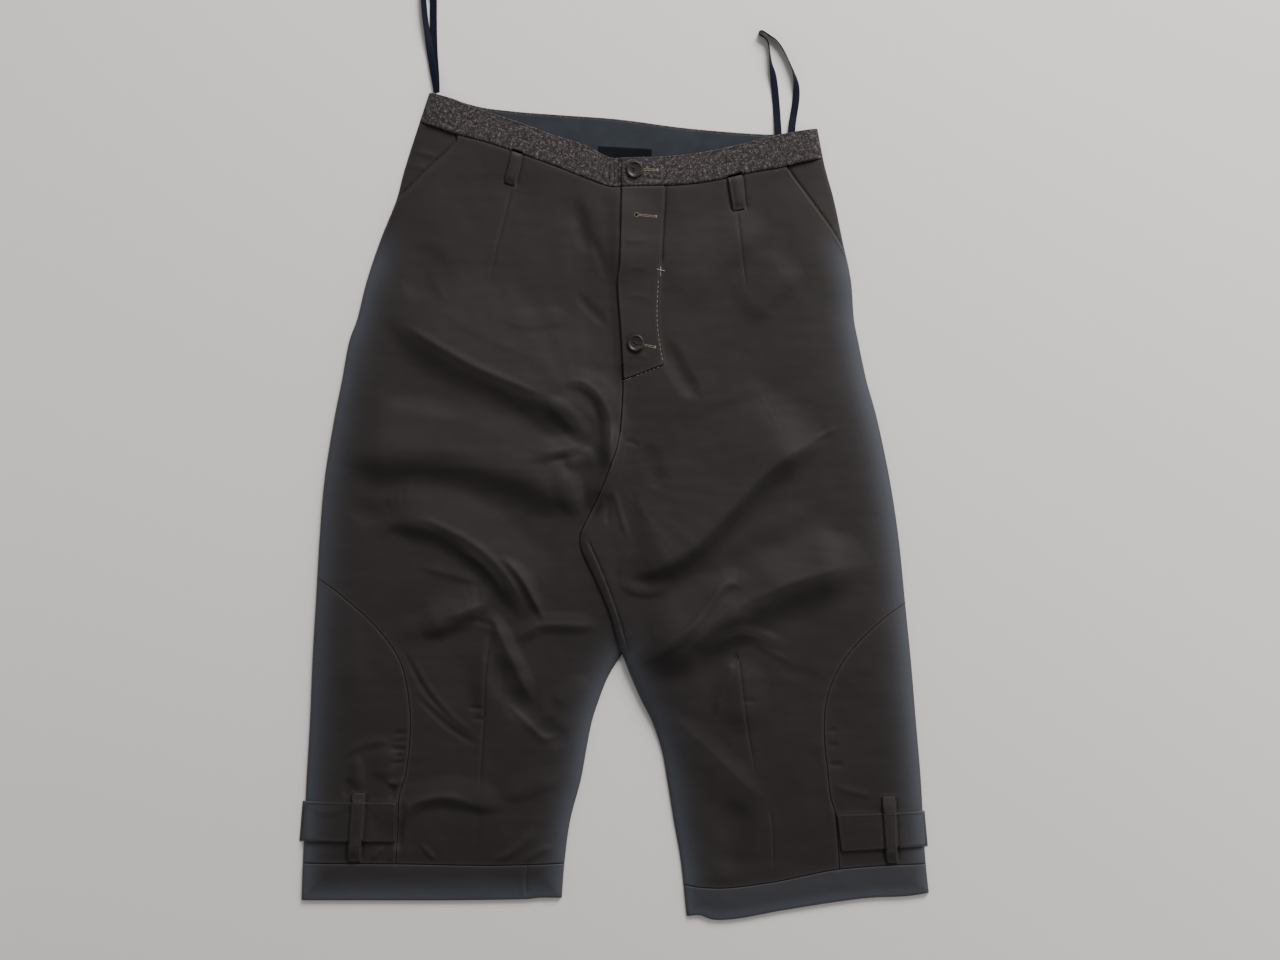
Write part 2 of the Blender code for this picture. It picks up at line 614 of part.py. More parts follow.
def build_facing():
    """The slate facing inside the back, and the plain label sewn on it."""
    upper = spline(((444, 98.5), (480, 109), (520, 114), (560, 117), (620, 121.5), (680, 129.5),
                    (735, 134.5), (775, 136.5), (803, 134)), 20.0)
    lower = spline(((801, 152), (760, 160), (700, 172), (640, 177), (580, 168), (520, 143), (450, 112)),
                   24.0)
    cut = Cut([np.vstack([upper, lower, upper[:1]])], [], {"facing": (620, 140)})
    bottom = np.full(len(cut.points), BACK_PLY + GAP)
    ply_object("waistband_facing", cut.points, cut.faces_of(("facing",)), bottom, bottom + FACING_PLY,
               FACING)
    corners = np.array([(598.5, 146.5), (652, 149.5), (650.5, 171), (599.5, 169), (598.5, 146.5)])
    cut = Cut([corners], [], {"label": (625, 160)})
    bottom = np.full(len(cut.points), BACK_PLY + FACING_PLY + 2 * GAP)
    ply_object("waist_label", cut.points, cut.faces_of(("label",)), bottom, bottom + LABEL_PLY, LABEL)


def height_at(cut, heights, place):
    """Height of a ply's flat triangles at an (across, down) place."""
    spot = np.array(plan(place))
    face = cut.faces[cut.face_at(spot)]
    a, b, c = (cut.points[v] for v in face)
    weights = np.linalg.solve(np.array([[*a, 1.0], [*b, 1.0], [*c, 1.0]]).T, np.array([*spot, 1.0]))
    return float(sum(w * heights[v] for w, v in zip(weights, face)))


def build_button(name, place, cut, heights, tilt):
    """A turned button blank that sits on the cloth under it.

    Args:
        name: The node's name.
        place: (across, down) of its centre.
        cut: The cut front surface.
        heights: Top of the carrying ply at each of its points.
        tilt: Degrees by which its side at high across is raised.

    Returns:
        The button.
    """
    foot = 0.78 * BUTTON_RADIUS
    under = [(place[0] + r * math.cos(a), place[1] + r * math.sin(a)) for r in (0.0, foot)
             for a in (math.pi * k / 6 for k in range(12))]
    seat = max(height_at(cut, heights, spot) for spot in under) + 0.8 * GAP
    rim, height, segments = BUTTON_RADIUS, BUTTON_HEIGHT, 20
    profile = ((0.78 * rim, 0.0), (0.97 * rim, 0.3 * height), (rim, 0.6 * height),
               (0.9 * rim, 0.95 * height), (0.78 * rim, height), (0.62 * rim, 0.72 * height))
    vertices = [(r * math.cos(a), r * math.sin(a), z) for r, z in profile
                for a in (2 * math.pi * k / segments for k in range(segments))]
    faces = []
    for ring in range(len(profile) - 1):
        for k in range(segments):
            a, b = ring * segments + k, ring * segments + (k + 1) % segments
            faces.append((a, b, b + segments, a + segments))
    faces.append(tuple(reversed(range(segments))))
    faces.append(tuple(range((len(profile) - 1) * segments, len(profile) * segments)))
    button = add_object(name, vertices, faces, HORN, 0.45)
    x, y = plan(place)
    lift = foot * math.sin(math.radians(tilt))
    button.location = (x * MM, y * MM, (seat + lift) * MM)
    button.rotation_euler = (0.0, math.radians(-tilt), 0.0)
    return button


@dataclass(frozen=True)
class Ribbon:
    """A hanger loop: a narrow ribbon from the waist, out over the table and back."""

    name: str
    route: tuple        # rows of across, down, height of its middle, tilt in degrees


RIBBONS = (
    Ribbon("hanger_loop_left", (
        # across, down, middle height, tilt
        (778, 147, 3.15, 0), (778, 134, 3.15, 0), (777.2, 120, 1.7, 0), (776.2, 105, 0.85, 2),
        (774.6, 88, 1.4, 10), (773, 75, 2.55, 30), (770.8, 64, 3.6, 66), (769.8, 54, 3.75, 84),
        (768.6, 45.5, 3.8, 90), (766.6, 40.2, 3.8, 90), (763.2, 37.2, 3.8, 90), (760.1, 35.6, 3.8, 90),
        (758.6, 33.5, 3.8, 90), (760.2, 31.4, 3.8, 90), (763, 31.9, 3.8, 90), (766.6, 34.2, 3.8, 90),
        (771, 37.2, 3.8, 90), (775.6, 40.4, 3.8, 91), (780.4, 46, 3.8, 92), (785.2, 54, 3.8, 94),
        (789.8, 64, 3.75, 98), (793.6, 73.5, 3.75, 108), (796, 84, 2.8, 142), (796.3, 94, 1.4, 168),
        (795.4, 104, 0.9, 178), (793.8, 114, 1.1, 180), (792.4, 123, 2.1, 180), (791.4, 133, 3.15, 180),
        (790.8, 146, 3.15, 180))),
    Ribbon("hanger_loop_right", (
        (437.6, 93.3, 3.1, -45), (436.9, 84, 2.6, -32), (435.8, 72, 1.7, -14), (434.6, 58, 0.8, -2),
        (433.8, 40, 0.75, 0), (433.5, 20, 0.75, 0), (433.5, 2, 0.85, 2), (433.5, -7, 2.35, 27),
        (433.4, -14, 3.7, 68), (433.2, -19, 3.8, 86), (431.8, -22.3, 3.8, 90), (428.5, -23.7, 3.8, 90),
        (425.2, -22.3, 3.8, 90), (423.9, -19, 3.8, 92), (423.7, -10, 3.6, 110), (423.9, 0, 3.1, 134),
        (424.5, 10, 2.9, 140), (425.5, 20, 2.8, 143), (427, 30, 2.7, 148), (428.6, 40, 2.5, 160),
        (430, 50, 2.2, 174), (431.3, 58, 2.2, 182), (433.6, 72, 3.1, 194), (435.3, 84, 3.9, 212),
        (436, 92.6, 4.2, 225))),
)


def build_ribbon(ribbon):
    """Sweep the ribbon's flat section along its route."""
    path = spline(ribbon.route, RIBBON_STEP)
    xy = np.array([plan(p) for p in path[:, :2]])
    along = np.gradient(xy, axis=0)
    along /= np.linalg.norm(along, axis=1)[:, None]
    vertices, faces = [], []
    for place, direction, height, tilt in zip(xy, along, path[:, 2], np.radians(path[:, 3])):
        aside = np.array([-direction[1], direction[0], 0.0])
        wide = math.cos(tilt) * aside + math.sin(tilt) * np.array([0.0, 0.0, 1.0])
        thin = -math.sin(tilt) * aside + math.cos(tilt) * np.array([0.0, 0.0, 1.0])
        middle = np.array([*place, height])
        for u, v in ((-1, -1), (1, -1), (1, 1), (-1, 1)):
            vertices.append(middle + 0.5 * RIBBON_WIDTH * u * wide + 0.5 * RIBBON_PLY * v * thin)
    for k in range(len(path) - 1):
        for j in range(4):
            a, b = 4 * k + j, 4 * k + (j + 1) % 4
            faces.append((a, b, b + 4, a + 4))
    faces.append((3, 2, 1, 0))
    faces.append(tuple(len(vertices) - 4 + j for j in range(4)))
    return add_object(ribbon.name, vertices, faces, RIBBON, 0.5)


def main():
    """Build the trousers."""
    for existing in list(bpy.data.objects):
        bpy.data.objects.remove(existing, do_unlink=True)
    build_back()
    build_facing()
    cut, tops = build_front()
    build_button("button_waist", (634.8, 170.5), cut, tops["waistband_front_left"], 2.0)
    build_button("button_fly", (636.3, 344.0), cut, tops["fly_placket"], 8.0)
    for ribbon in RIBBONS:
        build_ribbon(ribbon)


main()
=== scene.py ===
"""Drop-crotch trousers laid flat: the sewn cloth, its creases, stitches and fastenings.

Plan positions are (across, down) in millimetres on the table, across to the right and down to the hem, as
in the solids' source.  "Right" and "left" are the wearer's: the right leg lies at low across.  Heights
are millimetres over the table.
"""

from collections.abc import Iterable
from dataclasses import dataclass, field
from enum import Enum
import json
import logging
import math
import random

import bpy
import numpy as np
from mathutils import Matrix, Vector, noise
from mathutils.bvhtree import BVHTree
from mathutils.geometry import delaunay_2d_cdt
from mathutils.kdtree import KDTree

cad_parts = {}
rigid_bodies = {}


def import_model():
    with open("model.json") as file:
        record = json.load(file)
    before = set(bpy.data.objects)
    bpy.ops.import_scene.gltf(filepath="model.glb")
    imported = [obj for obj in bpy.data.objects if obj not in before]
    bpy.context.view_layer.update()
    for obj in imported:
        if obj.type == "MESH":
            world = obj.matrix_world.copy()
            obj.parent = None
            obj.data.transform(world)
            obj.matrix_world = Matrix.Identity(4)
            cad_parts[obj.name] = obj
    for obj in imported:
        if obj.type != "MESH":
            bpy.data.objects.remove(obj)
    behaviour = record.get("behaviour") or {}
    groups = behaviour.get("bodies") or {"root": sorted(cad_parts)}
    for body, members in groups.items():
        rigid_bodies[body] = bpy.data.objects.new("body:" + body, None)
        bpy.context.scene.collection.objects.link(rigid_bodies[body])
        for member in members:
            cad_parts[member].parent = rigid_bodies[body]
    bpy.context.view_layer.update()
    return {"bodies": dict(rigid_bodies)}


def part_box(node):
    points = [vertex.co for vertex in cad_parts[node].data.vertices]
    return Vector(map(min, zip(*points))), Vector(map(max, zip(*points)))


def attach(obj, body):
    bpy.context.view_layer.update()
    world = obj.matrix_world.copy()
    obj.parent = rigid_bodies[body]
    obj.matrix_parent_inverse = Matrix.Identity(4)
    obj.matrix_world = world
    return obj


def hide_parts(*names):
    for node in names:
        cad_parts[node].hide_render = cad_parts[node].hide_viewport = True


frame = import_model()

LOG = logging.getLogger("trousers")
BODY = next(iter(frame["bodies"]))

MM = 0.001
CENTRE = (614.5, 505.5)     # (across, down) of the origin

PLY = 1.4                   # cloth wall, measured straight up
BACK_PLY = 1.2
BAND_PLY = 2.0
FACING_PLY = 1.0
LABEL_PLY = 0.7
TAB_PLY = 1.6
TAB_LIFT, TAB_RISE = 0.2, 12.0  # how far the ankle tabs stand off the leg, and over what length
GAP = 0.3

# Heights of the front surface, and how far from an edge or a seam the cloth takes to reach them.
EDGE_Z = BACK_PLY + GAP
EDGE_ROLL = 15.0            # inwards from the outline, to its puff
FOLD_START = 11.0           # and to the full height of its folds
SLOPE_OUT = 1.36            # fall of the cloth that hangs over the outline
BAND_LIFT, BAND_RISE = 2.3, 12.0
SEAM_LIFT, SEAM_RISE = 2.0, 42.0
POCKET_LIFT, POCKET_FROM, POCKET_RISE = PLY + GAP, 56.0, 40.0
CLOSING_LIFT, CLOSING_FROM, CLOSING_RISE = PLY + GAP, 100.0, 52.0
CROTCH_ROLL, ROLL_RISE, ROLL_FADE = 3.5, 5.0, 26.0

LINE_STEP = 2.6             # spacing of the cloth's mesh along seams and edges
CLOTH_STEP = 2.3            # and between them
ROWS = (0.5, 1.2, 2.1)      # rows of points beside each seam, for its rounded edges
DART_ROWS = (-1.5, -0.7, 0.0, 0.7, 1.5)
DENSE_STEP = 0.4            # spacing of points that only measure distances

SEAM_REACH = 4.0            # how far distances are measured: from seams,
RIM_REACH = 9.0             # from the rim of a ply,
WRAP_REACH = 60.0           # from the edges where the cloth turns under,
CURVE_REACH = 110.0         # and from any other curve

RIM_DROP = 0.55             # share of a wall that rounds off at its rim
WRAP_TOP, WRAP_ROUND = 0.35, 3.0    # a turned-under edge: height of its top, and how far in it is round
WRAP_FOOT, WRAP_UNDER = 0.15, 1.2   # and the same of its underside
THINNEST = 0.15             # least wall

# Painted light in the cloth's colour: a cool painted sheen along the outline below the pockets and over all
# the hem bands, more on the left one, which faces the light; a painted highlight and rubbing beside each
# seam.
PAINTED_SHEEN_WIDTH, PAINTED_SHEEN_FROM, PAINTED_SHEEN_RISE = 15.0, 215.0, 60.0
HEM_PAINTED_SHEEN, HEM_PAINTED_SHEEN_MORE, HEM_FROM, HEM_RISE = 0.1, 0.35, 560.0, 140.0
# Seam ridges are painted lighter: a painted highlight, together with rubbing.
SEAM_WEAR_AND_HIGHLIGHT, SEAM_WEAR_AND_HIGHLIGHT_AT, SEAM_WEAR_AND_HIGHLIGHT_WIDTH = 0.5, 1.4, 0.8

WAVE = 0.314                # a wave texture's scale for one band a metre

UP = Vector((0.0, 0.0, 1.0))
Points = np.ndarray
Line = tuple[tuple[float, float], ...]

# How far the front swells over the back at each height, away from the outline.
PUFF = (
    # down, puff
    (90, 2.0), (185, 4.0), (260, 9.0), (400, 14.0), (580, 14.0), (720, 11.0), (820, 6.5), (865, 3.5),
    (920, 2.5),
)

# Outer edges of the two legs, a row for each height.
SIDES = (
    # down, right side, left side
    (165, 406.0, 824.5), (200, 396.5, 834.0), (240, 380.5, 842.5), (280, 367.0, 851.0),
    (318, 357.5, 854.0), (342, 349.0, 858.5), (380, 342.0, 866.5), (420, 334.0, 877.5),
    (480, 324.5, 890.0), (540, 319.5, 899.0), (600, 316.0, 905.0), (660, 312.5, 911.0),
    (720, 310.0, 916.0), (780, 306.5, 921.0), (840, 303.8, 924.2), (870, 302.5, 926.5),
)

# Inner edges below the crotch, a row for each height.
INSEAMS = (
    # down, right leg, left leg
    (676, 608.5, 630.5), (700, 599.0, 641.0), (722, 592.0, 652.0), (750, 586.5, 661.5),
    (780, 581.0, 667.0), (820, 570.5, 673.5), (860, 565.0, 680.5),
)

CROTCH = (622.0, 654.0)
CROTCH_PULL = (604.0, 470.0)    # the cloth is drawn together here
WAIST_RIGHT, WAIST_LEFT = (429.5, 92.5), (817.5, 128.5)
HEM_OUT_RIGHT, HEM_IN_RIGHT = (301.5, 900.0), (562.0, 897.5)
HEM_OUT_LEFT, HEM_IN_LEFT = (929.0, 892.5), (686.5, 916.0)
FLY_TOP, FLY_SEAM = (621.5, 158.0), (621.5, 187.5)

CURVES: dict[str, Line] = {
    "waist_right": (WAIST_RIGHT, (448, 96.5), (467, 105), (490, 113), (521, 123), (553, 135), (582, 144),
                    (601, 153.5), (611, 158), FLY_TOP),
    "waist_left": (FLY_TOP, (640, 157.5), (662, 157), (696, 153.5), (725, 148), (770, 137), (800, 130.5),
                   WAIST_LEFT),
    "waist_back": (WAIST_RIGHT, (448, 97.5), (480, 107), (520, 112), (560, 115), (620, 119.5), (680, 127.5),
                   (735, 132.5), (775, 134.5), (797, 131.5), WAIST_LEFT),
    "hem_right": (HEM_OUT_RIGHT, (360, 900), (450, 900), (522, 899), (540, 897.5), HEM_IN_RIGHT),
    "hem_left": (HEM_IN_LEFT, (700, 915), (714, 919.5), (740, 918), (786, 909.5), (860, 898.5), (905, 896),
                 HEM_OUT_LEFT),
    "band_seam_right": ((415, 121), (436, 128), (456, 135), (488, 143.5), (521, 154.5), (553, 166),
                        (586, 179), (608, 187), FLY_SEAM),
    "band_seam_left": (FLY_SEAM, (640, 187), (662, 186.5), (693, 184.5), (725, 179), (752, 173),
                       (779, 168.5), (805, 162.5), (827, 157.5)),
    "fly": (FLY_TOP, FLY_SEAM, (620, 260), (617.5, 285), (621, 334), (623.5, 380)),
    "centre_seam": ((623.5, 380), (621.5, 420), (617.5, 447), (607, 476), (599, 496), (589, 516),
                    (580, 535)),
    "crotch_edge": ((580, 535), (582, 550), (595, 578), (609, 611), (616.5, 637), CROTCH),
    "crotch_under": ((580, 535), (591, 551), (603.5, 578), (616, 611), (621.5, 637), CROTCH),
    "calf_seam_right": ((313, 576), (330, 586), (346, 598), (374, 623), (396, 651), (406, 676),
                        (411, 713), (410, 746), (406, 775), (399.8, 797), (398.6, 825), (397.2, 845),
                        (396, 865)),
    "calf_seam_left": ((909, 601), (887, 615), (864, 635), (844, 658), (830, 684), (824, 710),
                       (823.5, 738), (826.5, 767), (829.5, 794), (835, 816), (838, 850), (839, 871)),
    "hem_seam_right": ((298, 863), (402, 863.5), (486, 865), (570, 863)),
    "hem_seam_left": ((678, 883.5), (700, 887), (729, 887.5), (772, 882), (806, 875), (838, 869),
                      (887, 865), (933, 863.5)),
    "placket_side": ((664.5, 185), (662, 230), (660, 270), (658, 321), (664, 365)),
    "placket_end": ((664, 365), (621.5, 381)),
    "band_under": ((620.5, 161.5), (652, 161.5), (652, 183.5), (620.5, 183.5)),
    "fly_under": ((620.3, 192), (648, 192), (646, 300), (650, 366), (622, 366)),
    "pocket_right": ((456, 133), (455, 145), (426, 174), (410, 190), (393, 205)),
    "pocket_under_right": ((467, 137), (466, 150), (436, 184), (419, 201), (384, 226)),
    "pocket_left": ((787.5, 165), (788, 171.5), (810, 202.5), (832, 233), (849.5, 262)),
    "pocket_under_left": ((777, 168), (778.5, 176), (799.5, 208), (822, 242), (853, 281)),
}
STRAIGHT = ("band_under", "fly_under", "placket_end")

# Straps and loops: four corners each, from the upper corner at low across and round.
PATCHES: dict[str, Line] = {
    "belt_loop_right": ((512.5, 150), (522.5, 153), (514.8, 187), (504.3, 183.2)),
    "belt_loop_left": ((727, 177.2), (741, 173), (744.4, 209.6), (732.8, 212)),
    "ankle_tab_right": ((302.6, 800.6), (397.2, 801), (395.5, 841.4), (299.2, 841)),
    "ankle_tab_left": ((836, 813), (924.8, 810.5), (928.0, 845.8), (841, 851)),
    "tab_loop_right": ((353.3, 791.6), (366.5, 791.6), (360.4, 861), (348, 861)),
    "tab_loop_left": ((881, 795.2), (894, 795.2), (896.8, 862.3), (885.8, 862.8)),
}

LOOPS = ("belt_loop_right", "belt_loop_left", "tab_loop_right", "tab_loop_left")

# A place in each cell of the front surface.
CELLS: dict[str, tuple[float, float]] = {
    "band_r": (480, 125), "band_l": (700, 168), "band_l_under": (636, 172), "band_l_right_of": (658, 172),
    "facing_r": (415, 160), "under_r": (440, 176), "front_r": (520, 320), "loop_r": (513, 170),
    "facing_l": (820, 190), "under_l": (800, 204), "front_l": (740, 400), "loop_l": (737, 195),
    "fly_under": (635, 280), "placket": (655, 280), "placket_foot": (640, 371),
    "crotch_under": (606, 590), "calf_r": (340, 700), "tab_r": (325, 820), "tab_r_in": (380, 820),
    "tab_r_rim": (302.2, 822), "tab_r_mid": (357, 820), "loop_r_top": (359, 796), "loop_r_foot": (355, 850),
    "calf_r_foot": (325, 852), "calf_r_foot_in": (376, 852),
    "calf_l": (880, 700), "tab_l": (860, 830), "tab_l_out": (912, 830), "tab_l_rim": (925.3, 835),
    "tab_l_mid": (889, 830), "loop_l_top": (888, 802), "loop_l_foot": (891, 856),
    "hem_r": (430, 880), "hem_l": (800, 890),
}


class Crest(Enum):
    """The form of a fold's crest."""

    SOFT = "a low round swell"
    KEEN = "pinched along its line"
    LEDGE = "cloth climbs to it evenly, breaks over it and falls away steeply"


SOFT, KEEN, LEDGE = Crest
CREST_RADIUS = {SOFT: 0.5, KEEN: 0.8, LEDGE: 4.0}


@dataclass(frozen=True)
class Fold:
    """A fold along a crest, with its steep side to the hem and its gentle side to the waist.

    The line runs from low to high across, or downwards with the steep side at low across.  A negative
    height is a trough.  All lengths are millimetres.
    """

    height: float
    gentle: float
    steep: float
    line: Line
    crest: Crest = SOFT
    taper: float = 0.3          # share of the line over which each end rises

    def rise(self, points: Points) -> Points:
        """How much the fold lifts each (across, down) point."""
        dist, side, along = nearest(points, spline(self.line, 6.0), max(self.gentle, self.steep))
        ends = smooth_step(along / self.taper) * smooth_step((1.0 - along) / self.taper)
        width = np.where(side > 0, self.steep, self.gentle) * (0.45 + 0.55 * ends)
        radius = CREST_RADIUS[self.crest]
        t = np.clip((np.hypot(dist, radius) - radius) / width, 0.0, 1.0)
        if self.crest is SOFT:
            shape = 0.5 + 0.5 * np.cos(math.pi * t)
        elif self.crest is KEEN:
            shape = (1.0 - t) ** 2
        else:
            climb = np.where(t < 0.7, 1.0 - t / 0.85, 0.1765 * ((1.0 - t) / 0.3) ** 2)
            shape = np.where(side > 0, (1.0 - t) ** 3 * (1.0 + 3.0 * t), climb)
        return self.height * ends * shape


